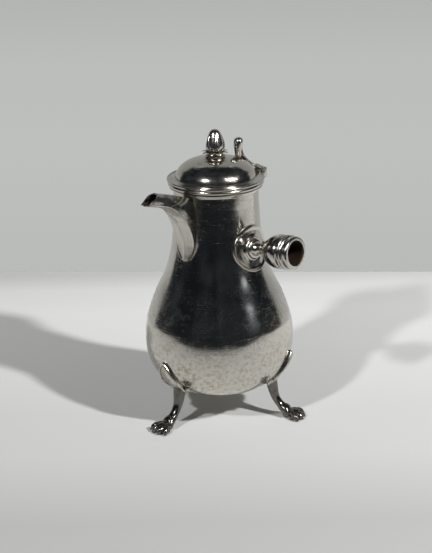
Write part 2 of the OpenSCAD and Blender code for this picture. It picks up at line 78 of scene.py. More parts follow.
class PotSizes(bpy.types.PropertyGroup):
    """Sizes of the pot's body, beak, socket and legs"""
    mouth_z: length("Mouth height", "Height of the mouth above the table", 195.6)
    neck_r: length("Neck radius", "Outer radius of the neck", 33.6)
    belly_r: length("Belly radius", "Largest outer radius of the body", 59.2)
    belly_z: length("Belly height", "Height of the body's widest place", 69.3)
    bottom_z: length("Bottom height", "Height of the rounded bottom above the table", 21.3)
    wall: length("Wall", "Thickness of the raised silver", 1.0)
    rim_out: length("Rim reach", "How far the mouth's bead stands out from the neck", 4.3)
    rim_h: length("Rim height", "Height of the mouth's moulding", 7.3)
    pour_r: length("Pouring hole", "Radius of the hole behind the beak", 6)
    beak_reach: length("Beak reach", "Reach of the beak from the neck to its lip", 48.2)
    beak_drop: length("Beak length", "From the mouth's level down to the tip of the beak's drop", 58.3)
    beak_half_w: length("Beak half width", "Half width of the beak's front panel", 9.8)
    socket_z: length("Socket height", "Height of the socket's axis at the neck", 145.5)
    socket_tilt: angle("Socket tilt", "Upward tilt of the socket", 5.3)
    socket_len: length("Socket length", "From the neck to the socket's mouth", 44.5)
    boss_r: length("Boss radius", "Radius of the round boss on the body", 18.3)
    stem_r: length("Stem radius", "Radius of the stem between boss and bulb", 4.4)
    bulb_r: length("Bulb radius", "Largest radius of the socket's bulb", 13.4)
    bore_r: length("Bore radius", "Radius of the bore for the wooden handle", 9.8)
    bore_depth: length("Bore depth", "Depth of the bore for the wooden handle", 20)
    leg_azimuth: angle("First leg", "Azimuth of the first leg from the beak", -7.5)
    sole_rho: length("Sole distance", "From the pot's axis to the middle of a sole", 62.5)
    ankle_r: length("Ankle", "Half width of a leg at its narrowest", 3.2)
    plate_half_w: length("Plate half width", "Half width of a shield plate", 10.6)
    plate_h: length("Plate height", "Height of a shield plate", 33)
    plate_t: length("Plate thickness", "How far a plate's field stands off the body", 1.3)
    around: IntProperty(name="Steps round", description="Steps of each turned piece", default=160,
                        min=48, max=256)


class LidSizes(bpy.types.PropertyGroup):
    """Sizes of the lid, its hinge and its finial"""
    gap: length("Lid gap", "Gap between the closed lid and the mouth", 0.2)
    flange_t: length("Flange", "Thickness of the lid's flange", 1.5)
    flange_over: length("Flange reach", "How far the flange reaches beyond the mouth's bead", 0.6)
    dome_r: length("Dome radius", "Radius of the dome at its foot", 31.7)
    dome_h: length("Dome height", "Height of the dome above the flange", 16.4)
    wall: length("Lid wall", "Thickness of the lid's silver", 1.0)
    bezel_h: length("Bezel", "Depth of the bezel inside the neck", 5)
    bezel_gap: length("Bezel gap", "Gap between the bezel and the neck", 0.6)
    rod_r: length("Rod hole", "Radius of the hole for the stirring rod", 6)
    hinge_azimuth: angle("Hinge azimuth", "Azimuth of the hinge from the beak", 159)
    barrel_r: length("Barrel radius", "Radius of the hinge's barrel", 2)
    barrel_len: length("Barrel length", "Length of the hinge's barrel", 13)
    thumb_h: length("Thumbpiece", "Height of the thumbpiece above the flange", 29)
    collar_r: length("Leaf collar", "Radius of the collar at the leaves' tips", 11)
    leaf_count: IntProperty(name="Leaves", description="Leaves in the collar", default=8, min=5, max=14)
    bud_r: length("Bud radius", "Largest radius of the bud", 7)
    bud_h: length("Bud height", "Height of the bud above its collar", 17.7)


class SilverLook(bpy.types.PropertyGroup):
    """Colours and wear of the silver"""
    polished: colour("Silver", "Colour of the polished silver", (0.62, 0.592, 0.548))
    # Also the colour of the painted shade in the silver's hollows
    tarnish_and_shade_colour: colour("Tarnish", "Colour of the tarnish in hollows and stains", (0.20, 0.165, 0.12))
    bore: colour("Bore", "Colour inside the handle's bore", (0.11, 0.082, 0.06))
    roughness: number("Roughness", "Roughness of the polished silver", 0.15)
    wave: length("Hammer waves", "Height of the soft waves left by the raising hammer", 0.4)
    pits: length("Pits", "Depth of the small pits", 0.05)


class StageLook(bpy.types.PropertyGroup):
    """Colours and lamps of the stage"""
    table: colour("Table", "Colour of the table", (0.72, 0.725, 0.715))
    # The wall glows in this colour, times its painted light
    backdrop: colour("Wall", "Colour of the wall behind", (0.50, 0.51, 0.495))
    beyond: colour("Room", "Colour of the room that only the camera sees", (0.56, 0.57, 0.56))
    dark: colour("Dark room", "Colour of the unlit room that the silver mirrors", (0.009, 0.011, 0.013))
    dim: colour("Dim room", "Colour of the lighter patches of that room", (0.034, 0.039, 0.047))
    left_lamp: number("Left lamp", "Power of the left lamp in watts", 9.5)
    right_lamp: number("Right lamp", "Power of the right lamp in watts", 17.5)
    glow: number("Glow", "Power of the wide lamp on the body in watts", 0.13)
    fill: number("Fill", "Strength of the light from all round", 0.05)
    azimuth: angle("Camera azimuth", "Azimuth of the camera from the beak", 41)
    height: angle("Camera elevation", "Elevation of the camera", 18.6)
    roll: angle("Camera roll", "Roll of the camera", 1.35)
    lens: number("Lens", "Focal length in millimetres", 110.67)


# Outlines

def along(p0, p1, p2, p3, t):
    """Point on a curve through four neighbours"""
    return [0.5 * (2 * b + (c - a) * t + (2 * a - 5 * b + 4 * c - d) * t * t
                   + (3 * b - a - 3 * c + d) * t ** 3) for a, b, c, d in zip(p0, p1, p2, p3)]


def smooth(points, steps):
    """Curve through all the points, with a number of steps between two"""
    last = len(points) - 1
    curve = [along(points[max(i - 1, 0)], points[i], points[i + 1], points[min(i + 2, last)], s / steps)
             for i in range(last) for s in range(steps)]
    return curve + [list(points[last])]


def arc(centre, radius, start, end, steps=8):
    """Round arc between two angles in degrees, as outline points"""
    turn = [math.radians(start + (end - start) * i / steps) for i in range(steps + 1)]
    return [(centre[0] + radius * math.cos(a), centre[1] + radius * math.sin(a)) for a in turn]


def shifted(outline, distance):
    """Outline moved sideways, to the left of its own direction"""
    moved = []
    last = len(outline) - 1
    for i, p in enumerate(outline):
        a, b = outline[max(i - 1, 0)], outline[min(i + 1, last)]
        step = Vector((b[0] - a[0], b[1] - a[1])).normalized()
        moved.append((max(0.0, p[0] - (distance * step.y if i else 0)),
                      p[1] + (distance * step.x if i < last else 0)))
    return moved


def oval(centre, across, wide, lean, count=24):
    """Ring round a point (x, z) of the plane y = 0, with half sizes across and along y"""
    ring = []
    tilt = math.radians(lean)
    for i in range(count):
        a = math.tau * i / count
        u = across * math.cos(a)
        ring.append(Vector((centre[0] + u * math.cos(tilt), wide * math.sin(a),
                            centre[1] + u * math.sin(tilt))))
    return ring


def ovals(line, steps, count=24):
    """Rings along a line of (centre, half size across, half width, lean in degrees)"""
    flat = smooth([(c[0], c[1], across, wide, lean) for c, across, wide, lean in line], steps)
    return [oval((x, z), across, wide, lean, count) for x, z, across, wide, lean in flat]


def sizes_of(group):
    """The group's sizes as plain numbers, lengths in millimetres and angles in degrees"""
    out = {}
    for name, prop in group.bl_rna.properties.items():
        if prop.type == 'FLOAT' and prop.subtype == 'ANGLE':
            out[name] = math.degrees(getattr(group, name))
        elif prop.type == 'FLOAT' and prop.unit == 'LENGTH':
            out[name] = getattr(group, name) / MM
        elif prop.type == 'INT':
            out[name] = getattr(group, name)
    return type("Sizes", (), out)


# The shoulder's line: share of its rise, and share of the way out from the neck to the belly
SHOULDER = [(0, 1), (0.08, 0.972), (0.157, 0.9), (0.314, 0.66), (0.469, 0.345), (0.623, 0.15),
            (0.775, 0.055), (0.9, 0.02), (1, 0)]
# Below one, it makes the bottom fuller than a quarter of an ellipse
BOTTOM_POWER = 0.8
# The straight part under the mouth, and the start of the socket's axis outside the neck
NECK_LENGTH = 17
SOCKET_ROOT = 1.2


def body_outline(s):
    """The body's outer side, from the middle of its bottom up to the mouth"""
    quarter = [math.pi / 2 * i / 40 for i in range(40)]
    low = [(s.belly_r * math.sin(a) ** BOTTOM_POWER,
            s.belly_z - (s.belly_z - s.bottom_z) * math.cos(a) ** BOTTOM_POWER) for a in quarter]
    rise = s.mouth_z - NECK_LENGTH - s.belly_z
    high = smooth([(s.neck_r + (s.belly_r - s.neck_r) * out, s.belly_z + rise * up)
                   for up, out in SHOULDER], 7)
    return low + high + [(s.neck_r, s.mouth_z)]


class BodySkin:
    """The body's outer surface, for pieces that hug it"""

    def __init__(self, s):
        self.outline = body_outline(s)

    def radius(self, z):
        line = self.outline
        for (r0, z0), (r1, z1) in zip(line, line[1:]):
            if z <= z1:
                return r0 + (r1 - r0) * (z - z0) / max(z1 - z0, 1e-9)
        return line[-1][0]

    def normal(self, p):
        slope = (self.radius(p.z + 0.4) - self.radius(p.z - 0.4)) / 0.8
        return Vector((p.x, p.y, -slope * math.hypot(p.x, p.y))).normalized()

    def land(self, p, inward, height, reach=60):
        """Where the line from p meets the surface, lifted off it by a height"""
        near, far = 0.0, reach
        for _ in range(34):
            middle = (near + far) / 2
            q = p + inward * middle
            if math.hypot(q.x, q.y) > self.radius(q.z):
                near = middle
            else:
                far = middle
        q = p + inward * near
        return q + self.normal(q) * height


# Modelling

def deselect():
    if bpy.context.mode != 'OBJECT':
        bpy.ops.object.mode_set(mode='OBJECT')
    bpy.ops.object.select_all(action='DESELECT')


def pick(obj):
    deselect()
    obj.select_set(True)
    bpy.context.view_layer.objects.active = obj
    return obj


def begin(name):
    """Name the new primitive and open it in edit mode with all of it selected"""
    obj = bpy.context.object
    obj.name = obj.data.name = name
    bpy.ops.object.mode_set(mode='EDIT')
    bpy.ops.mesh.select_all(action='SELECT')
    return obj


def tidy_mesh(merge=0.001 * MM):
    """Merge doubles, turn the normals outwards and leave edit mode"""
    bpy.ops.mesh.select_all(action='SELECT')
    bpy.ops.mesh.remove_doubles(threshold=merge)
    bpy.ops.mesh.dissolve_degenerate(threshold=merge)
    bpy.ops.mesh.normals_make_consistent(inside=False)
    bpy.ops.object.mode_set(mode='OBJECT')


def turned(name, outline, steps, base=(0, 0, 0), axis=(0, 0, 1), side=(1, 0, 0)):
    """Turn an outline of (radius, height) in millimetres: one point, extruded along it and spun"""
    base, axis, side = Vector(base) * MM, Vector(axis), Vector(side)
    places = [base + side * (r * MM) + axis * (h * MM) for r, h in outline]
    deselect()
    bpy.ops.mesh.primitive_plane_add(size=MM, location=places[0])
    bpy.ops.object.transform_apply(location=True)
    obj = begin(name)
    bpy.ops.mesh.merge(type='CENTER')
    for a, b in zip(places, places[1:]):
        bpy.ops.mesh.extrude_region_move(TRANSFORM_OT_translate={"value": b - a})
    bpy.ops.mesh.select_all(action='SELECT')
    bpy.ops.mesh.spin(steps=steps, angle=math.tau, center=base, axis=axis)
    tidy_mesh()
    return obj


def lofted(name, rings):
    """Closed skin through rings of points in millimetres: a filled circle, extruded ring by ring"""
    deselect()
    bpy.ops.mesh.primitive_circle_add(vertices=len(rings[0]), radius=MM, fill_type='NGON')
    obj = begin(name)
    ring = list(range(len(rings[0])))
    for i, points in enumerate(rings):
        if i:
            bpy.ops.mesh.extrude_region_move()
        mesh = bmesh.from_edit_mesh(obj.data)
        mesh.verts.ensure_lookup_table()
        mesh.verts.index_update()
        if i:
            number = {v: k for k, v in enumerate(ring)}
            ring = [None] * len(points)
            for v in mesh.verts:
                if v.select:
                    for edge in v.link_edges:
                        below = edge.other_vert(v)
                        if not below.select:
                            ring[number[below.index]] = v.index
        for v, p in zip(ring, points):
            mesh.verts[v].co = Vector(p) * MM
    bmesh.update_edit_mesh(obj.data)
    tidy_mesh()
    return obj


def apply_modifier(obj, kind, **settings):
    pick(obj)
    bpy.ops.object.modifier_add(type=kind)
    new = obj.modifiers[-1]
    for name, value in settings.items():
        setattr(new, name, value)
    bpy.ops.object.modifier_apply(modifier=new.name)
    return obj


def combine(obj, tool, operation='DIFFERENCE', keep=False):
    """Cut or join with another solid, which is then deleted"""
    apply_modifier(obj, 'BOOLEAN', operation=operation, object=tool, solver='EXACT')
    if not keep:
        pick(tool)
        bpy.ops.object.delete()
    return obj


def join(*objs):
    pick(objs[0])
    for obj in objs[1:]:
        obj.select_set(True)
    bpy.ops.object.join()
    return objs[0]


def turn_round(obj, degrees):
    """Turn a piece round the pot's axis, in its mesh"""
    pick(obj)
    obj.rotation_euler = (0, 0, math.radians(degrees))
    bpy.ops.object.transform_apply(rotation=True)
    return obj


def copied(obj, name):
    pick(obj)
    bpy.ops.object.duplicate()
    new = bpy.context.object
    new.name = new.data.name = name
    return new


def body_envelope(s, out=TINY):
    """Everything inside the body's outer surface"""
    skin = shifted(body_outline(s), -out)
    return turned("envelope", skin + [(0, skin[-1][1])], 128)


def finished(obj, body, slot, nodes, crease=38, finish=""):
    """Shade a piece, give it its silver and set it on its body in place of its nodes"""
    pick(obj)
    bpy.ops.object.shade_smooth_by_angle(angle=math.radians(crease))
    obj.data.materials.clear()
    obj.data.materials.append(bpy.data.materials["aged_" + (finish or slot)])
    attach(obj, body)
    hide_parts(*nodes)
    return obj


def refined(name, node, body, slot, edge=0.12):
    """A node's own shape with merged corners, softened edges and its silver"""
    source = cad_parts[node]
    obj = bpy.data.objects.new(name, source.data.copy())
    obj.data.name = name
    bpy.context.scene.collection.objects.link(obj)
    pick(obj)
    bpy.ops.object.mode_set(mode='EDIT')
    tidy_mesh()
    apply_modifier(obj, 'BEVEL', width=edge * MM, segments=2, limit_method='ANGLE',
                   angle_limit=math.radians(40), use_clamp_overlap=True)
    return finished(obj, body, slot, [node], 45)


# Silver

class Wire:
    """A node's output, so that shader maths reads as Python"""

    def __init__(self, tree, socket=None):
        self.tree = tree
        self.socket = socket

    def node(self, kind, settings=None, inputs=None, out=0):
        """Add a node, give it its settings, and then its sockets their values or links"""
        new = self.tree.nodes.new(kind)
        for name, value in (settings or {}).items():
            if name == "stops":
                stops = new.color_ramp.elements
                stops[0].position, stops[0].color = value[0]
                stops[1].position, stops[1].color = value[-1]
                for place, tint in value[1:-1]:
                    stops.new(place).color = tint
            else:
                setattr(new, name, value)
        for name, value in (inputs or {}).items():
            if isinstance(value, Wire):
                self.tree.links.new(value.socket, new.inputs[name])
            else:
                new.inputs[name].default_value = value
        return Wire(self.tree, new.outputs[out] if len(new.outputs) else None)

    def maths(self, operation, *values):
        return self.node("ShaderNodeMath", {"operation": operation}, dict(enumerate(values)))

    def __add__(self, other):
        return self.maths('ADD', self, other)

    def __radd__(self, other):
        return self.maths('ADD', other, self)

    def __sub__(self, other):
        return self.maths('SUBTRACT', self, other)

    def __rsub__(self, other):
        return self.maths('SUBTRACT', other, self)

    def __mul__(self, other):
        return self.maths('MULTIPLY', self, other)

    def __rmul__(self, other):
        return self.maths('MULTIPLY', other, self)

    def span(self, low, high, to_low=0.0, to_high=1.0):
        """The value's share of a span, softened at both ends"""
        return self.node("ShaderNodeMapRange", {"interpolation_type": 'SMOOTHSTEP'},
                         {"Value": self, "From Min": low, "From Max": high,
                          "To Min": to_low, "To Max": to_high})

    def noise(self, place, scale, detail=3.0, roughness=0.55, warp=0.0):
        return self.node("ShaderNodeTexNoise", {"noise_dimensions": '3D'},
                         {"Vector": place, "Scale": scale, "Detail": detail, "Roughness": roughness,
                          "Distortion": warp})

    def capped(self, most):
        return self.maths('MINIMUM', self, most)

    def bore_mask(self, place, base, axis, radius, start):
        """One inside a bore: nearer its axis than its radius, and beyond its floor"""
        away = self.node("ShaderNodeVectorMath", {"operation": 'SUBTRACT'}, {0: place, 1: base})
        along_axis = self.node("ShaderNodeVectorMath", {"operation": 'DOT_PRODUCT'}, {0: away, 1: axis},
                               out="Value")
        from_axis = self.node("ShaderNodeVectorMath", {"operation": 'CROSS_PRODUCT'}, {0: away, 1: axis})
        off = self.node("ShaderNodeVectorMath", {"operation": 'LENGTH'}, {0: from_axis}, out="Value")
        return along_axis.span(start - MM, start) * off.span(radius + 0.25 * MM, radius + 0.1 * MM)

    def painted_brightness(self, value, low, high, tones, tint):
        """A colour times a painted brightness that is given at places of a span"""
        share = self.node("ShaderNodeMapRange", {}, {"Value": value, "From Min": low, "From Max": high})
        stops = [((place - low) / (high - low), (tone, tone, tone, 1.0)) for place, tone in tones]
        ramp = self.node("ShaderNodeValToRGB", {"stops": stops}, {"Fac": share})
        return self.node("ShaderNodeMix", {"data_type": 'RGBA', "blend_type": 'MULTIPLY'},
                         {0: 1.0, 6: rgba(tint), 7: ramp}, out=2)

    def mix(self, share, first, second):
        """A colour between two colours"""
        return self.node("ShaderNodeMix", {"data_type": 'RGBA'},
                         {0: share, 6: first, 7: second}, out=2)


def rgba(values):
    return (*values, 1.0)


def new_material(name):
    mat = bpy.data.materials.new(name)
    mat.use_nodes = True
    mat.node_tree.nodes.clear()
    return mat, Wire(mat.node_tree)


# Heights in metres between which the stains begin, and the haze of fine wear ends and begins
STAINED_BELOW = (0.095, 0.055)
HAZE_TOP, HAZE_FOOT = (0.124, 0.106), (0.080, 0.092)
# What a stain leaves of the silver's red, green and blue
STAIN_TINT = (0.66, 0.60, 0.48)


def silver(name, look, tone=1.0, rough=1.0, wave=1.0, pits=1.0, grime_and_shade=1.0, stain=1.0, haze=0.0,
           bore=None):
    """Old silver: hammer waves, pits and scratches, stains, and dark tarnish with painted shade in the
    hollows
    """
    mat, w = new_material("aged_" + name)
    place = w.node("ShaderNodeTexCoord", out="Object")
    waves = w.noise(place, 42, 1.0, 0.4)
    small_waves = w.noise(place, 160, 2.0, 0.5)
    pit_field = w.node("ShaderNodeTexVoronoi", {"feature": 'F1'}, {"Vector": place, "Scale": 520,
                                                                 "Randomness": 1.0})
    pit_choice = w.noise(place, 240, 2.0)
    pitted = (1 - pit_field.span(0.10, 0.34)) * pit_choice.span(0.55, 0.68)
    long_way = w.node("ShaderNodeMapping", {}, {"Vector": place, "Scale": (60, 60, 2600),
                                                "Rotation": (0.35, 0.2, 0.0)})
    cross_way = w.node("ShaderNodeMapping", {}, {"Vector": place, "Scale": (2400, 90, 90),
                                                 "Rotation": (0.1, 0.7, 0.5)})
    scratches = (w.noise(long_way, 1, 2.0, 0.6, 0.4).span(0.60, 0.74)
                 + w.noise(cross_way, 1, 2.0, 0.6, 0.4).span(0.62, 0.76) * 0.8)
    patches = w.noise(place, 30, 4.0, 0.6, 0.6).span(0.48, 0.70)
    mottle = w.noise(place, 330, 3.0, 0.6, 0.3).span(0.42, 0.70)
    # Ambient occlusion darkens hollows, creases and the undersides of edges towards the tarnish colour:
    # partly tarnish, partly painted shade
    hollow = 1 - w.node("ShaderNodeAmbientOcclusion", {"samples": 8, "only_local": False},
                        {"Distance": 3.2 * MM}, out="AO").span(0.30, 0.86)
    up = w.node("ShaderNodeSeparateXYZ", {}, {"Vector": place}, out="Z")
    low = up.span(*STAINED_BELOW)
    stains = (patches * mottle + low * mottle * 0.9).capped(1.0)
    polished = tuple(c * tone for c in look.polished)
    clouded = tuple(c * tone * k for c, k in zip(look.polished, STAIN_TINT))
    shade = w.mix(stains * stain * 0.8, rgba(polished), rgba(clouded))
    shade = w.mix(pitted * 0.55 * pits, shade, rgba(look.tarnish_and_shade_colour))
    # Mixes in the tarnish and painted shade of the hollows
    shade = w.mix(hollow * 0.85 * grime_and_shade, shade, rgba(look.tarnish_and_shade_colour))
    roughness = (look.roughness * rough + scratches * 0.10 + stains * (0.10 * stain)
                 + mottle * 0.03 + hollow * 0.22)
    if haze:
        band = up.span(*HAZE_TOP) * up.span(*HAZE_FOOT)
        cloudy = w.noise(place, 90, 4.0, 0.75, 0.6).span(0.40, 0.64)
        roughness = roughness + band * (cloudy * 0.13 + 0.02) * haze
    if bore:
        inside = w.bore_mask(place, *bore)
        shade = w.mix(inside, shade, rgba(look.bore))
        roughness = roughness + inside * 0.5
    height = (waves * (look.wave * wave) + small_waves * (look.wave * wave * 0.10)
              - pitted * (look.pits * pits) + scratches * (0.012 * MM))
    bump = w.node("ShaderNodeBump", {}, {"Strength": 1.0, "Distance": 1.0, "Height": height})
    shader = w.node("ShaderNodeBsdfPrincipled", {}, {"Base Color": shade, "Roughness": roughness,
                                                     "Metallic": 1.0, "Normal": bump})
    w.node("ShaderNodeOutputMaterial", {}, {"Surface": shader})
    return mat


class ChocolatePotSilver(bpy.types.Operator):
    """Make the finishes of silver, with a darker one for the legs"""
    bl_idname = "chocolate_pot.silver"
    bl_label = "Silver finishes"

    def execute(self, context):
        look = context.scene.silver_look
        silver("raised_silver", look, haze=1.0)
        s = sizes_of(context.scene.pot_sizes)
        tilt = math.radians(s.socket_tilt)
        bore = (Vector((s.neck_r + SOCKET_ROOT, 0, s.socket_z)) * MM, (math.cos(tilt), 0, math.sin(tilt)),
                s.bore_r * MM, (s.socket_len - s.bore_depth) * MM)
        # The grime values set how strong the tarnish and painted shade in the hollows are
        silver("turned_silver", look, tone=0.98, wave=0.12, pits=0.6, grime_and_shade=1.1, stain=0.7, bore=bore)
        silver("cast_silver", look, tone=0.96, rough=1.25, wave=0.35, pits=1.3, grime_and_shade=1.25, stain=0.9)
        silver("leg_silver", look, tone=0.26, rough=1.1, wave=0.35, pits=1.3, grime_and_shade=1.5, stain=0.9)
        silver("hinge_silver", look, tone=0.92, rough=1.5, wave=0.05, pits=0.8, grime_and_shade=1.2)
        return {'FINISHED'}


# Body and mouth

class ChocolatePotBody(bpy.types.Operator):
    """Turn the pear-shaped body and pierce it behind the beak"""
    bl_idname = "chocolate_pot.body"
    bl_label = "Body"

    def execute(self, context):
        s = sizes_of(context.scene.pot_sizes)
        outer = body_outline(s)
        body = turned("body", outer + shifted(outer, s.wall)[::-1], s.around)
        pour_z = s.mouth_z - 0.3 * s.beak_drop
        deselect()
        bpy.ops.mesh.primitive_cylinder_add(vertices=48, radius=s.pour_r * MM, depth=12 * s.wall * MM,
                                            location=(0, -s.neck_r * MM, pour_z * MM),
                                            rotation=(math.pi / 2, 0, 0))
        combine(body, bpy.context.object)
        finished(body, "pot", "raised_silver", ["vessel_body"])
        return {'FINISHED'}


class ChocolatePotRim(bpy.types.Operator):
    """Turn the moulding round the mouth, with its cove, step and bead"""
    bl_idname = "chocolate_pot.rim"
    bl_label = "Mouth moulding"

    def execute(self, context):
        s = sizes_of(context.scene.pot_sizes)
        rim_r = s.neck_r + s.rim_out
        bead, cove = 1.7, 2.2
        foot_z = s.mouth_z - s.rim_h
        step_r = rim_r - 1.2
        outline = ([(s.neck_r, foot_z), (s.neck_r + 0.5, foot_z)]
                   + arc((s.neck_r + 0.5 + cove, foot_z), cove, 180, 90, 10)
                   + [(step_r - 0.15, foot_z + cove), (step_r, foot_z + cove + 0.2),
                      (step_r, s.mouth_z - 2 * bead - 0.7), (step_r - 0.8, s.mouth_z - 2 * bead - 0.3)]
                   + arc((rim_r - bead, s.mouth_z - bead), bead, -90, 90, 18)
                   + [(s.neck_r, s.mouth_z), (s.neck_r, foot_z)])
        rim = turned("mouth_moulding", outline, s.around)
        finished(rim, "pot", "turned_silver", ["mouth_rim"])
        return {'FINISHED'}


# Beak

# Keel, panel's edge, upper side and top, as shares of the reach and the drop, with half widths
BEAK_STATIONS = [
    ((1.005, 0.055, 0), (0.995, 0.045, 0.41), (0.824, -0.041, 0.45), (0.719, -0.065, 0.275)),
    ((0.828, 0.093, 0), (0.766, 0.069, 0.57), (0.693, 0.012, 0.57), (0.641, -0.045, 0.26)),
    ((0.651, 0.137, 0), (0.600, 0.111, 0.75), (0.558, 0.046, 0.65), (0.527, -0.021, 0.30)),
    ((0.515, 0.202, 0), (0.465, 0.177, 0.86), (0.423, 0.094, 0.73), (0.392, 0.015, 0.32)),
    ((0.382, 0.280, 0), (0.345, 0.269, 0.90), (0.288, 0.160, 0.77), (0.257, 0.055, 0.34)),
    ((0.292, 0.365, 0), (0.262, 0.360, 0.91), (0.174, 0.211, 0.77), (0.133, 0.091, 0.35)),
    ((0.215, 0.477, 0), (0.188, 0.472, 0.94), (0.070, 0.262, 0.75), (0.019, 0.125, 0.36)),
    ((0.160, 0.597, 0), (0.130, 0.597, 1.00), (-0.012, 0.331, 0.75), (-0.075, 0.177, 0.36)),
    ((0.125, 0.743, 0), (0.098, 0.734, 0.98), (-0.070, 0.468, 0.75), (-0.130, 0.297, 0.36)),
    ((0.118, 0.863, 0), (0.104, 0.850, 0.76), (-0.090, 0.605, 0.60), (-0.150, 0.434, 0.30)),
    ((0.124, 0.974, 0), (0.118, 0.955, 0.38), (-0.090, 0.726, 0.30), (-0.150, 0.554, 0.16))]
# Places of the panel's points, from the keel to its edge
PANEL_STEPS = (0, 0.05, 0.10, 0.16, 0.24, 0.35, 0.5, 0.62, 0.72, 0.80, 0.86, 0.91, 0.96, 1)
PANEL_HOLLOW, RIDGE_H, BORDER_H = 0.3, 0.36, 0.5
# The beak's root inside the neck: share of its size, fall and relief of each last ring
ROOT_RINGS = ((0.97, 0.6, 0.5), (0.86, 1.2, 0), (0.68, 1.7, 0), (0.44, 2.0, 0), (0.15, 2.15, 0))
BEAK_WALL, CHANNEL_LAST = 1.5, 40


def beak_corner(s, share):
    return Vector((share[2] * s.beak_half_w, -s.neck_r - share[0] * s.beak_reach,
                   s.mouth_z - share[1] * s.beak_drop))


def beak_ring(s, station, ridge_share=1.0, relief=1.0):
    """Section of the beak: ridge, hollow panel and raised border, then the upper side and top"""
    keel, edge, flank, top = [beak_corner(s, share) for share in station]
    out = ((keel + edge) / 2 - top).normalized()
    wide = max(edge.x, 0.5)
    soft = min(0.75, 0.2 * wide)
    hollow = PANEL_HOLLOW * min(1.0, wide / 8)
    half = []
    for u in PANEL_STEPS:
        ridge = RIDGE_H * ridge_share * math.exp(-(u * wide / soft) ** 2)
        border = BORDER_H * math.exp(-(((1 - u) * wide - soft * 0.6) / soft) ** 2)
        panel = ridge + border - hollow * 4 * u * (1 - u)
        half.append(keel.lerp(edge, u) + out * (panel * relief + BORDER_H * (1 - relief)))
    half += [Vector(p) for p in smooth([edge, flank, top], 5)][1:]
    left = [Vector((-p.x, p.y, p.z)) for p in half[:0:-1]]
    return half + left


class ChocolatePotBeak(bpy.types.Operator):
    """Loft the beak, hollow out its channel and fit it to the body"""
    bl_idname = "chocolate_pot.beak"
    bl_label = "Beak"

    def execute(self, context):
        s = sizes_of(context.scene.pot_sizes)
        flat = [[v for share in station for v in share] for station in BEAK_STATIONS]
        stations = [[row[i:i + 3] for i in (0, 3, 6, 9)] for row in smooth(flat, 5)]
        end = len(stations) - 1
        rings = [beak_ring(s, station, min(1.0, (end - i) / 14)) for i, station in enumerate(stations)]
        for shrink, fall, relief in ROOT_RINGS:
            last = beak_ring(s, stations[end], 0, relief)
            middle = sum(last, Vector()) / len(last)
            rings.append([middle + (p - middle) * shrink + Vector((0, 0, -fall)) for p in last])
        beak = lofted("beak", rings)
        inner = []
        for station in stations[:CHANNEL_LAST + 1]:
            corners = [beak_corner(s, share) for share in station]
            ring = [corners[0]] + corners[1:] + [Vector((-p.x, p.y, p.z)) for p in corners[:0:-1]]
            heart = sum(ring, Vector()) / len(ring)
            inner.append([p + (heart - p).normalized() * BEAK_WALL for p in ring])
        out = [a * 2.5 - b * 1.5 for a, b in zip(inner[0], inner[3])]
        combine(beak, lofted("channel", [out] + inner))
        combine(beak, body_envelope(s))
        finished(beak, "pot", "cast_silver", ["beak_spout"], 32)
        return {'FINISHED'}


# Handle socket

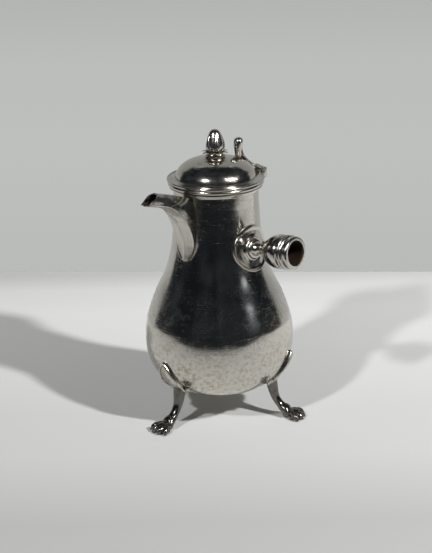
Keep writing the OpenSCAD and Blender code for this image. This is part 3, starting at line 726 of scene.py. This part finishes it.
class ChocolatePotSocket(bpy.types.Operator):
    """Model the saddle-shaped boss, the socket's bulb and the lip of its bore"""
    bl_idname = "chocolate_pot.socket"
    bl_label = "Handle socket"

    def execute(self, context):
        s = sizes_of(context.scene.pot_sizes)
        tilt = math.radians(s.socket_tilt)
        axis = Vector((math.cos(tilt), 0, math.sin(tilt)))
        side, up = Vector((0, 1, 0)), Vector((-math.sin(tilt), 0, math.cos(tilt)))
        base = Vector((s.neck_r + SOCKET_ROOT, 0, s.socket_z))
        skin = BodySkin(s)
        spokes = [math.tau * i / 120 for i in range(120)]

        def plain(rho, out):
            return [base + (side * math.cos(a) + up * math.sin(a)) * rho + axis * out for a in spokes]

        def hug(rho, height):
            return [skin.land(p, -axis, height) for p in plain(rho, 40)]

        r = s.boss_r
        bead = [(r, TINY), (r + 0.05, 0.6), (r - 0.05, 1.3), (r - 0.3, 1.8), (r - 0.7, 2.12),
                (r - 1.15, 2.15), (r - 1.6, 1.85), (r - 1.95, 1.3), (r - 2.3, 0.95), (r - 3.2, 0.85),
                (r - 4.6, 0.95), (r - 6.2, 1.05), (r - 8, 1.1)]
        rings = [hug(rho, TINY) for rho in (0.5, r * 0.3, r * 0.6, r * 0.85)]
        rings += [hug(rho, height) for rho, height in bead]
        step = 0.52 * r
        stem_top = 0.26 * s.socket_len
        core = ([(step, 2.4)] + arc((step - 0.8, 2.6), 0.8, 0, 90, 6)
                + [(step - 1.6, 3.3), (step - 1.9, 3.15), (step - 1.9, 4.1)]
                + arc((step - 2.7, 4.2), 0.8, 0, 90, 6)
                + smooth([(step - 3.4, 5.1), (s.stem_r + 1.3, 7), (s.stem_r + 0.4, 9.2),
                          (s.stem_r, stem_top)], 6))
        rings += [plain(rho, place) for rho, place in core]
        boss = lofted("socket_boss", rings)
        finished(boss, "pot", "turned_silver", ["handle_boss"], 30)

        lip_w, groove = 4.2, 0.8
        b = s.bulb_r
        end = s.socket_len - lip_w
        span = end - stem_top
        ring_r = 0.035 * span

        def level(share):
            return stem_top + share * span

        floor = s.socket_len - s.bore_depth
        outline = ([(0, stem_top)]
                   + smooth([(s.stem_r, level(0)), (s.stem_r + 0.8, level(0.07)), (b - 4.2, level(0.25)),
                             (b - 1.2, level(0.435)), (b, level(0.607)), (b - 0.3, level(0.733))], 8)
                   + [(b - groove, level(0.756)), (b - groove, level(0.8))]
                   + arc((b - 0.9, level(0.848)), ring_r, -70, 70, 10)
                   + arc((b - 0.9, level(0.94)), ring_r, -70, 70, 10)
                   + [(b - groove, level(0.985)), (b - groove, end), (s.bore_r, end),
                      (s.bore_r, floor + 0.4), (s.bore_r - 0.4, floor), (0, floor)])
        bulb = turned("socket_bulb", outline, 128, base, axis, up)
        finished(bulb, "pot", "turned_silver", ["handle_socket"], 34)
        lip, out = 1.4, b - 0.5
        ring = ([(s.bore_r, end), (out - 0.9, end), (out - 0.25, end + 0.3), (out, end + 0.9)]
                + arc((out - lip, s.socket_len - lip), lip, 0, 90, 10)
                + [(s.bore_r + 0.3, s.socket_len), (s.bore_r, s.socket_len - 0.3), (s.bore_r, end)])
        lip_ring = turned("socket_lip", ring, 128, base, axis, up)
        finished(lip_ring, "pot", "turned_silver", ["socket_mouth_ring"], 34)
        return {'FINISHED'}


# Legs

def set_round(obj, azimuth, name, node, finish=""):
    """Set a leg or a plate and its two copies round the body"""
    pieces = [obj, copied(obj, name + "b"), copied(obj, name + "c")]
    for i, piece in enumerate(pieces):
        piece.name = piece.data.name = name + "abc"[i]
        turn_round(piece, azimuth + LEG_TURN * i - 90)
        finished(piece, "pot", "cast_silver", [node % (i + 1)], 50, finish)


def pearls(name, balls):
    """Balls (x, y, z, radius) in one mesh, for a remesh to fuse"""
    deselect()
    bpy.ops.mesh.primitive_ico_sphere_add(subdivisions=3, radius=balls[0][3] * MM,
                                          location=Vector(balls[0][:3]) * MM)
    bpy.ops.object.transform_apply(location=True)
    obj = begin(name)
    for x, y, z, radius in balls[1:]:
        bpy.ops.mesh.primitive_ico_sphere_add(subdivisions=3, radius=radius * MM,
                                              location=Vector((x, y, z)) * MM)
    bpy.ops.object.mode_set(mode='OBJECT')
    return obj


# A toe in millimetres: distance from the paw's heel, height and radius, with its claw at the end
TOE = (smooth([(3.0, 5.4, 2.1), (6.0, 5.6, 2.1), (7.8, 5.1, 1.85), (9.9, 4.5, 2.3), (11.7, 3.2, 2.2),
               (12.4, 2.1, 1.75)], 4) + [(13.6, 1.7, 0.9), (14.1, 1.2, 0.65)])
TOE_TURNS = (-38, -13, 13, 38)
# Edge of the fusing grid, and the share of the circle between two legs
PAW_GRAIN = 0.31
LEG_TURN = 120


class ChocolatePotLegs(bpy.types.Operator):
    """Fuse a leg's shaft and paw once, and set three of them round the body"""
    bl_idname = "chocolate_pot.legs"
    bl_label = "Legs"

    def execute(self, context):
        s = sizes_of(context.scene.pot_sizes)
        sole, ankle = s.sole_rho, s.ankle_r
        rows = [(0.680, 1.710, 4.4, 6.6, -10), (0.694, 1.420, 4.5, 6.1, -6), (0.710, 1.155, 4.2, 4.9, 0),
                (0.730, 0.912, ankle + 0.4, 4.1, 8), (0.766, 0.677, ankle, 3.8, 18),
                (0.816, 0.496, ankle + 0.1, 3.9, 30), (0.867, 0.372, ankle + 1, 4.9, 44),
                (0.915, 0.265, 3.4, 5.8, 60)]
        line = [((out * sole, up * s.bottom_z), across, wide, lean) for out, up, across, wide, lean in rows]
        shaft = lofted("leg", ovals(line, 5))
        balls = [(sole - 6.4, 0, 3.6, 3.9), (sole - 3.5, 0, 3.6, 4.3), (sole, 0, 3.4, 4.6),
                 (sole - 1, 3, 2.4, 3.6), (sole - 1, -3, 2.4, 3.6), (sole + 1, 0, 3.4, 4.6)]
        for turn in TOE_TURNS:
            a = math.radians(turn)
            balls += [(sole - 6 + out * math.cos(a), out * math.sin(a), z, radius) for out, z, radius in TOE]
        leg = join(shaft, pearls("paw", balls))
        apply_modifier(leg, 'REMESH', mode='VOXEL', voxel_size=PAW_GRAIN * MM)
        apply_modifier(leg, 'SMOOTH', factor=0.5, iterations=3)
        deselect()
        bpy.ops.mesh.primitive_cube_add(size=100 * MM, location=(sole * MM, 0, -50 * MM))
        combine(leg, bpy.context.object)
        combine(leg, body_envelope(s))
        set_round(leg, s.leg_azimuth, "leg_", "leg_%d", "leg_silver")
        return {'FINISHED'}


# A shield's right side, as shares of the half width and the height
SHIELD = [(0, -0.50), (0.42, -0.48), (0.82, -0.40), (1.0, -0.26), (0.93, -0.06), (0.74, 0.14),
          (0.46, 0.33), (0.16, 0.46), (0, 0.50)]
# How far a plate's face looks down, in degrees
PLATE_DROP = 32
# How far in from a plate's edge each ring lies, and how high, up to its field at the plate's thickness t
PLATE_EDGE = [(8.9, TINY), (5, TINY), (1, TINY), (0, TINY), (-0.05, 0.7), (0.05, 1.5), (0.3, 2.2),
              (0.7, 2.6), (1.15, 2.55), (1.5, 2.1), (1.8, 1.6)]
PLATE_FIELD = [(2.1, 0.05), (2.6, 0), (4.2, 0.25), (6.2, 0.55), (8.0, 0.8), (8.9, 0.85)]
# A scroll's rings, as shares of its size and heights in millimetres
SCROLL = [(0.06, TINY), (0.98, TINY), (1.0, 0.8), (0.93, 1.7), (0.82, 2.1), (0.68, 1.5), (0.5, 1.9),
          (0.3, 2.4), (0.12, 2.1), (0.04, 2.0)]


class ChocolatePotPlates(bpy.types.Operator):
    """Model a shield plate with its raised edge and scrolls once, and set three of them on the body"""
    bl_idname = "chocolate_pot.plates"
    bl_label = "Shield plates"

    def execute(self, context):
        s = sizes_of(context.scene.pot_sizes)
        skin = BodySkin(s)
        drop = math.radians(PLATE_DROP)
        middle = Vector((s.belly_r - 7, 0, s.bottom_z + 0.65 * s.plate_h))
        up = Vector((math.sin(drop), 0, math.cos(drop)))
        out = Vector((math.cos(drop), 0, -math.sin(drop)))

        def on_skin(x, y, height):
            return skin.land(middle + up * y + Vector((0, -x, 0)) + out * 20, -out, height)

        def shield_ring(inset, height):
            side = smooth([(x * (s.plate_half_w - inset), y * (s.plate_h - 2.4 * inset))
                           for x, y in SHIELD], 6)
            ring = side + [(-x, y) for x, y in side[-2:0:-1]]
            return [on_skin(x, y, height) for x, y in ring]

        profile = PLATE_EDGE + [(inset, s.plate_t + height) for inset, height in PLATE_FIELD]
        plate = lofted("plate", [shield_ring(inset, height) for inset, height in profile])
        for side in (-1, 1):
            centre = (side * (s.plate_half_w + 2.0), -0.31 * s.plate_h)
            spokes = [math.tau * i / 60 for i in range(60)]
            rings = []
            for share, height in SCROLL:
                ring = []
                for a in spokes:
                    frond = share * (1 + 0.12 * math.cos(5 * a)) if share > 0.6 else share
                    x, y = 4.9 * frond * math.cos(a), 2.3 * frond * math.sin(a)
                    ring.append(on_skin(centre[0] + side * (x * 0.68 - y * 0.73),
                                        centre[1] + x * 0.73 + y * 0.68, height))
                rings.append(ring if side > 0 else [ring[0]] + ring[:0:-1])
            plate = join(plate, lofted("scroll", rings))
        set_round(plate, s.leg_azimuth, "shield_plate_", "leg_plate_%d")
        return {'FINISHED'}


# Lid

# Both below one, they make the dome fuller than an ellipse
DOME_POWERS = (0.833, 0.952)
# Height of the collar in the rod's hole
ROD_COLLAR_H = 4


def dome_outline(radius, height, foot_z, inner_r=0.0, steps=48):
    """Dome from its foot inwards to a radius"""
    line = []
    for i in range(steps + 1):
        a = math.pi / 2 * i / steps
        r = radius * max(math.cos(a), 0.0) ** DOME_POWERS[0]
        z = foot_z + height * math.sin(a) ** DOME_POWERS[1]
        if r <= inner_r:
            line.append((inner_r, z))
            break
        line.append((r, z))
    return line


class ChocolatePotLid(bpy.types.Operator):
    """Turn the lid's dome, its edge moulding, its bezel and the collar of the rod's hole"""
    bl_idname = "chocolate_pot.lid"
    bl_label = "Lid"

    def execute(self, context):
        s, l = sizes_of(context.scene.pot_sizes), sizes_of(context.scene.lid_sizes)
        flange_r = s.neck_r + s.rim_out + l.flange_over
        low = s.mouth_z + l.gap
        top = low + l.flange_t
        hole = l.rod_r + l.wall + 0.2
        outer = dome_outline(l.dome_r, l.dome_h, top, hole)
        inner = dome_outline(l.dome_r - l.wall, l.dome_h + l.flange_t - l.wall, low, hole)
        outline = ([(flange_r - 1.2, low), (flange_r - 1.2, top), (l.dome_r + 1.2, top),
                    (l.dome_r + 0.3, top + 0.3)] + outer[1:] + inner[::-1] + [(flange_r - 1.2, low)])
        dome = turned("lid_dome_skin", outline, s.around)
        finished(dome, "lid", "raised_silver", ["lid_dome"], 34)
        edge = 0.95
        ring = ([(flange_r - 1.2, low), (flange_r - 0.5, low)]
                + arc((flange_r - edge, low + edge), edge, -60, 100, 14)
                + [(flange_r - 1.2, top + 0.3), (flange_r - 1.2, low)])
        finished(turned("lid_edge", ring, s.around), "lid", "turned_silver", ["lid_edge_moulding"])
        out = s.neck_r - s.wall - l.bezel_gap
        foot = low - l.bezel_h
        ring = [(out - l.wall, low), (out - l.wall, foot + 0.3), (out - l.wall + 0.3, foot),
                (out - 0.4, foot), (out - 0.1, foot + 0.25), (out, foot + 0.8), (out, low),
                (out - l.wall, low)]
        finished(turned("lid_bezel_ring", ring, s.around), "lid", "raised_silver", ["lid_bezel"])
        crown = top + l.dome_h
        foot = crown - ROD_COLLAR_H
        ring = [(l.rod_r, foot + 0.2), (l.rod_r + 0.2, foot), (hole - 0.2, foot), (hole, foot + 0.2),
                (hole, crown - 0.25), (hole - 0.25, crown), (l.rod_r + 0.25, crown),
                (l.rod_r, crown - 0.25), (l.rod_r, foot + 0.2)]
        finished(turned("rod_collar", ring, 96), "lid", "hinge_silver", ["rod_hole_collar"])
        refined("finial_pivot_pin", "finial_pivot", "lid", "hinge_silver")
        refined("finial_washer", "finial_pivot_washer", "lid", "hinge_silver")
        return {'FINISHED'}


# Distance of the thumbpiece from the pot's axis, and radius of the bore in the lid's knuckle
THUMB_RHO = 20.6
PIN_BORE = 0.97


class ChocolatePotHinge(bpy.types.Operator):
    """Finish the hinge's knuckles and pin, and loft the strap and the thumbpiece"""
    bl_idname = "chocolate_pot.hinge"
    bl_label = "Hinge and thumbpiece"

    def execute(self, context):
        s, l = sizes_of(context.scene.pot_sizes), sizes_of(context.scene.lid_sizes)
        refined("pot_knuckles", "hinge_pot_knuckles", "pot", "hinge_silver", 0.2)
        refined("hinge_pin_rod", "hinge_pin", "pot", "hinge_silver", 0.15)
        flange_r = s.neck_r + s.rim_out + l.flange_over
        top = s.mouth_z + l.gap + l.flange_t
        crown = top + l.dome_h
        rho, z = flange_r + l.barrel_r, top + 1.5
        foot = crown - 3.6
        tip = top + l.thumb_h
        strap_line = [((rho - 0.6, z + 1.0), 1.0, 2.2, 55), ((rho - 2.9, z + 1.2), 1.0, 2.3, 55),
                      ((rho - 7.1, z + 3.9), 1.05, 2.4, 54), ((rho - 12.4, z + 8.0), 1.15, 2.5, 48),
                      ((rho - 15.6, z + 11.6), 1.2, 2.6, 38), ((rho - 17.3, z + 15.0), 1.2, 2.5, 26),
                      ((THUMB_RHO + 2.0, z + 18.5), 1.1, 2.2, 16)]
        strap = lofted("hinge_strap_bar", ovals(strap_line, 6))
        dome = dome_outline(l.dome_r + TINY, l.dome_h + TINY, top)
        dome_solid = turned("dome_solid", [(0, top - 1), (l.dome_r, top - 1)] + dome, 128)
        combine(strap, dome_solid, keep=True)
        knuckle = 0.4 * l.barrel_len / 2
        section = [(PIN_BORE, -knuckle), (l.barrel_r - 0.2, -knuckle), (l.barrel_r, -knuckle + 0.2),
                   (l.barrel_r, knuckle - 0.2), (l.barrel_r - 0.2, knuckle), (PIN_BORE, knuckle),
                   (PIN_BORE, -knuckle)]
        barrel = turned("knuckle", section, 48, (rho, 0, z), (0, 1, 0), (1, 0, 0))
        strap = join(strap, barrel)
        turn_round(strap, l.hinge_azimuth - 90)
        finished(strap, "lid", "cast_silver", ["hinge_strap"], 40)
        root = foot - 3
        shape = [(0.8, 0.00, 2.9, 3.6), (0.4, 0.10, 2.7, 2.6), (0, 0.25, 2.7, 2.3), (-0.2, 0.45, 3.0, 2.9),
                 (-0.1, 0.66, 3.6, 3.7), (0.2, 0.84, 3.7, 3.8), (0.4, 0.94, 2.9, 3.0), (0.5, 0.99, 1.3, 1.3),
                 (0.5, 1.00, 0.2, 0.2)]
        thumb_line = [((THUMB_RHO + x, root + (tip - root) * up), across, wide, 0)
                      for x, up, across, wide in shape]
        thumb = lofted("thumbpiece_club", ovals(thumb_line, 6, 32))
        turn_round(thumb, l.hinge_azimuth - 90)
        combine(thumb, dome_solid)
        finished(thumb, "lid", "cast_silver", ["thumbpiece"], 45)
        return {'FINISHED'}


# The bud's and a sepal's lines, as shares of the bud's radius and height
BUD = [(0.62, 0), (0.86, 0.07), (1.0, 0.22), (0.98, 0.38), (0.88, 0.56), (0.74, 0.74), (0.55, 0.89),
       (0.3, 0.975), (0, 1)]
SEPAL = [(0.80, 0.00), (1.04, 0.10), (1.12, 0.24), (1.06, 0.43), (0.90, 0.62), (0.70, 0.79), (0.52, 0.90)]
SEPALS = 5


class ChocolatePotFinial(bpy.types.Operator):
    """Model the finial's cover, foot, leaf collar and bud"""
    bl_idname = "chocolate_pot.finial"
    bl_label = "Finial"

    def execute(self, context):
        s, l = sizes_of(context.scene.pot_sizes), sizes_of(context.scene.lid_sizes)
        crown = s.mouth_z + l.gap + l.flange_t + l.dome_h
        cover_z = crown + 0.2
        foot_z = cover_z + 1.0
        foot_h, collar_t = 2.0, 1.0
        refined("finial_cover_disc", "finial_cover", "finial", "hinge_silver", 0.2)
        refined("finial_stud_pin", "finial_stud", "finial", "hinge_silver")
        foot_r = l.collar_r * 0.58
        outline = ([(0, foot_z), (foot_r - 1, foot_z)]
                   + arc((foot_r - foot_h / 2, foot_z + foot_h / 2), foot_h / 2, -90, 90, 14)
                   + [(0, foot_z + foot_h)])
        finished(turned("finial_bead", outline, 96), "finial", "turned_silver", ["finial_foot"])
        collar_z = foot_z + foot_h
        leaves = [self.leaf(l, collar_z, collar_t, i) for i in range(l.leaf_count)]
        outline = [(0, collar_z), (l.bud_r * 0.95, collar_z), (l.bud_r, collar_z + 0.3),
                   (l.bud_r * 0.96, collar_z + collar_t), (0, collar_z + collar_t)]
        collar = join(turned("leaf_collar", outline, 96), *leaves)
        finished(collar, "finial", "cast_silver", ["finial_collar"], 60)
        bud_z = collar_z + collar_t
        core = smooth([(r * l.bud_r, bud_z + up * l.bud_h) for r, up in BUD], 8)
        core[-1][0] = 0.0
        bud = turned("bud", [(0, bud_z)] + core, 96)
        petals = []
        for i in range(SEPALS):
            rows = [((r * l.bud_r - 1.1, bud_z + up * l.bud_h), 1.1, l.bud_r * 0.54 * (1 - 0.16 * j), 0)
                    for j, (r, up) in enumerate(SEPAL)]
            petals.append(turn_round(lofted("sepal", ovals(rows, 5, 20)), 360 * (i + 0.5) / SEPALS))
        bud = join(bud, *petals)
        finished(bud, "finial", "cast_silver", ["finial_bud"], 60)
        return {'FINISHED'}

    def leaf(self, l, base_z, thick, number):
        """One pointed leaf, arched along its length and folded at its midrib"""
        root, tip = l.bud_r * 0.75, l.collar_r
        rings = []
        for i in range(13):
            u = i / 12
            x = root + (tip - root) * u
            half = 2.3 * math.sin(math.pi * min(0.30 + 0.70 * u, 1.0)) + 0.05
            arch = thick * (0.9 + 0.9 * math.sin(math.pi * u * 0.9) - 1.3 * u ** 3)
            ring = []
            for k in range(16):
                a = math.tau * k / 16
                y = half * math.cos(a)
                fold = 0.35 * (1 - abs(math.cos(a)))
                h = 0.28 * math.sin(a) * (1 - 0.5 * u) + fold
                ring.append(Vector((x, y, base_z + arch * 0.6 + h)))
            rings.append(ring)
        return turn_round(lofted("leaf", rings), 360 * (number + 0.5) / l.leaf_count)


# Stage

# Painted light on the table: its brightness at distances in metres towards the camera, standing in for the
# lamps' falloff
TABLE_PAINTED_LIGHT = [(-0.356, 1.06), (-0.31, 1.30), (-0.24, 1.30), (0.0, 0.87), (0.09, 0.78), (0.2, 0.58),
               (0.4, 0.52)]
# Painted light on the glowing wall at heights in metres: darker with height, with a painted bright line at
# its top
WALL_PAINTED_LIGHT = [(-0.40, 0.97), (-0.16, 1.03), (-0.01, 1.0), (0.21, 0.79), (1.1, 0.66), (2.34, 0.60),
              (2.36, 3.0)]
# The table's back edge lies level in the picture although the camera rolls
EDGE_TURN = math.radians(-4.2)
# The camera's distance, how far it stands to the right, and the height at which it aims
CAMERA_DISTANCE, CAMERA_ASIDE, CAMERA_AIM = 1.3546, -1.594 * MM, 0.1151
# Distance of each lamp from its aim on the pot's axis, the aim's height, and the width of a small lamp
LAMP_DISTANCE, LAMP_AIM, LAMP_SIZE = 1.3, 0.12, 0.08
GLOW_TINT = (0.82, 0.93, 1.0)


def table_material(look, toward):
    """The table's matt sheet, with painted light: brightest behind the pot, darker towards the camera"""
    mat, w = new_material("table_matt")
    place = w.node("ShaderNodeTexCoord", out="Object")
    near = w.node("ShaderNodeVectorMath", {"operation": 'DOT_PRODUCT'}, {0: place, 1: toward},
                  out="Value")
    tint = w.painted_brightness(near, -0.5, 0.5, TABLE_PAINTED_LIGHT, look.table)
    matt = w.node("ShaderNodeBsdfPrincipled", {}, {"Base Color": tint, "Roughness": 0.9,
                                                   "Specular IOR Level": 0.1})
    w.node("ShaderNodeOutputMaterial", {}, {"Surface": matt})
    return mat


def wall_material(look):
    """The wall as a glowing sheet of painted light, darker with height, with a painted bright line along its
    top
    """
    mat, w = new_material("wall_paint")
    place = w.node("ShaderNodeTexCoord", out="Object")
    height = w.node("ShaderNodeSeparateXYZ", {}, {"Vector": place}, out="Z")
    tint = w.painted_brightness(height, -0.5, 2.5, WALL_PAINTED_LIGHT, look.backdrop)
    light = w.node("ShaderNodeEmission", {}, {"Color": tint, "Strength": 1.0})
    w.node("ShaderNodeOutputMaterial", {}, {"Surface": light})
    return mat


class ChocolatePotStage(bpy.types.Operator):
    """Set the table, the wall, the lamps and the camera"""
    bl_idname = "chocolate_pot.stage"
    bl_label = "Stage"

    def execute(self, context):
        look = context.scene.stage_look
        turn, rise = look.azimuth, look.height
        self.toward = Vector((math.sin(turn), -math.cos(turn), 0))
        self.right = Vector((math.cos(turn), math.sin(turn), 0))
        table = self.slab("table", -0.356, 0.36, 1.2, -0.02, 0.0)
        front = self.slab("table_front", 0.34, 3.0, 3.0, -0.02, -0.4 * MM)
        front.visible_glossy = False
        wall = self.slab("wall", -1.55, -1.5, 0.94, -1.28, 2.43)
        wings = self.slab("wall_wings", -1.62, -1.58, 2.0, -1.28, 1.99)
        sides = self.slab("wall_sides", -1.68, -1.64, 3.25, -1.28, 1.34)
        matt = table_material(look, self.toward)
        for obj in (table, front):
            obj.data.materials.append(matt)
        # The wall's glowing sheet of painted light
        wall_glow = wall_material(look)
        for obj in (wall, wings, sides):
            obj.data.materials.append(wall_glow)
        meshes = [obj for obj in bpy.context.scene.objects if obj.type == 'MESH']
        others = self.reach("all_but_the_body", [obj for obj in meshes if obj.name != "body"])
        self.lamp("lamp_left", -33, 37, look.left_lamp, others)
        self.lamp("lamp_right", 48, 36, look.right_lamp, others)
        body = self.reach("glow_reach", [bpy.data.objects["body"]])
        glow = self.lamp("glow", 57, 18, look.glow, body, 0.26)
        glow.data.color = GLOW_TINT
        self.world(look)
        self.camera(look, rise)
        return {'FINISHED'}

    def slab(self, name, back, front, half, low, high):
        """A block set square to the camera, from its primitive cube"""
        deselect()
        bpy.ops.mesh.primitive_cube_add(size=1)
        obj = begin(name)
        middle = self.toward * (back + front) / 2 + Vector((0, 0, (low + high) / 2))
        bpy.ops.transform.resize(value=(half * 2, front - back, high - low))
        bpy.ops.object.mode_set(mode='OBJECT')
        obj.data.transform(Matrix.Rotation(bpy.context.scene.stage_look.azimuth + EDGE_TURN, 4, 'Z'))
        obj.data.transform(Matrix.Translation(middle))
        return obj

    def reach(self, name, objs):
        """The pieces that a lamp lights: the small ones would glare on the body, which gets a faint one"""
        lit = bpy.data.collections.new(name)
        for obj in objs:
            lit.objects.link(obj)
        return lit

    def lamp(self, name, azimuth, rise, power, lit, size=LAMP_SIZE):
        """A round lamp at an azimuth from the camera and an elevation, in degrees"""
        a, e = math.radians(azimuth), math.radians(rise)
        way = self.toward * (math.cos(a) * math.cos(e)) + self.right * (math.sin(a) * math.cos(e)) \
            + Vector((0, 0, math.sin(e)))
        bpy.ops.object.light_add(type='AREA', location=Vector((0, 0, LAMP_AIM)) + way * LAMP_DISTANCE)
        lamp = bpy.context.object
        lamp.name = name
        lamp.rotation_euler = way.to_track_quat('Z', 'Y').to_euler()
        lamp.data.shape = 'DISK'
        lamp.data.size = size
        lamp.data.energy = power
        lamp.light_linking.receiver_collection = lit
        return lamp

    def world(self, look):
        """A faint fill for matt surfaces, a dark blurred room for the silver, a plain one for the camera"""
        world = bpy.data.worlds.new("room")
        bpy.context.scene.world = world
        world.use_nodes = True
        world.node_tree.nodes.clear()
        w = Wire(world.node_tree)
        camera_ray = w.node("ShaderNodeLightPath", out="Is Camera Ray")
        glossy_ray = w.node("ShaderNodeLightPath", out="Is Glossy Ray")
        fill = w.node("ShaderNodeBackground", {}, {"Color": (1, 1, 1, 1), "Strength": look.fill})
        way = w.node("ShaderNodeTexCoord", out="Generated")
        blur = w.noise(way, 2.2, 2.0, 0.5, 0.5).span(0.42, 0.72)
        dim = w.mix(blur, rgba(look.dark), rgba(look.dim))
        dark = w.node("ShaderNodeBackground", {}, {"Color": dim, "Strength": 1.0})
        seen = w.node("ShaderNodeBackground", {}, {"Color": rgba(look.beyond), "Strength": 1.0})
        lit = w.node("ShaderNodeMixShader", {}, {0: glossy_ray, 1: fill, 2: dark})
        both = w.node("ShaderNodeMixShader", {}, {0: camera_ray, 1: lit, 2: seen})
        w.node("ShaderNodeOutputWorld", {}, {"Surface": both})

    def camera(self, look, rise):
        """The photograph's camera, with its roll"""
        back = self.toward * math.cos(rise) + Vector((0, 0, math.sin(rise)))
        up = back.cross(self.right)
        roll = look.roll
        across = self.right * math.cos(roll) - up * math.sin(roll)
        over = self.right * math.sin(roll) + up * math.cos(roll)
        bpy.ops.object.camera_add()
        camera = bpy.context.object
        camera.name = "camera"
        camera.data.lens = look.lens
        camera.data.clip_start, camera.data.clip_end = 0.05, 20
        where = Vector((0, 0, CAMERA_AIM)) + back * CAMERA_DISTANCE + self.right * CAMERA_ASIDE
        turn = Matrix((across, over, back)).transposed().to_4x4()
        camera.matrix_world = Matrix.Translation(where) @ turn
        bpy.context.scene.camera = camera


STEPS = (ChocolatePotSilver, ChocolatePotBody, ChocolatePotRim, ChocolatePotBeak, ChocolatePotSocket,
         ChocolatePotLegs, ChocolatePotPlates, ChocolatePotLid, ChocolatePotHinge, ChocolatePotFinial,
         ChocolatePotStage)
GROUPS = (("pot_sizes", PotSizes), ("lid_sizes", LidSizes), ("silver_look", SilverLook),
          ("stage_look", StageLook))


class ChocolatePotPanel(bpy.types.Panel):
    """The pot's pieces, in the order in which they are made"""
    bl_idname = "VIEW3D_PT_chocolate_pot"
    bl_label = "Chocolate Pot"
    bl_space_type = 'VIEW_3D'
    bl_region_type = 'UI'
    bl_category = "Chocolate Pot"

    def draw(self, context):
        for step in STEPS:
            self.layout.operator(step.bl_idname)


def register():
    for _, group in GROUPS:
        bpy.utils.register_class(group)
    for step in STEPS:
        bpy.utils.register_class(step)
    bpy.utils.register_class(ChocolatePotPanel)
    for name, group in GROUPS:
        setattr(bpy.types.Scene, name, PointerProperty(type=group))


def unregister():
    for name, _ in GROUPS:
        delattr(bpy.types.Scene, name)
    for kind in (ChocolatePotPanel, *reversed(STEPS), *(group for _, group in reversed(GROUPS))):
        bpy.utils.unregister_class(kind)


def main():
    register()
    bpy.context.scene.view_settings.view_transform = 'Standard'
    for step in STEPS:
        group, name = step.bl_idname.split(".")
        getattr(getattr(bpy.ops, group), name)()


if __name__ == "__main__":
    main()
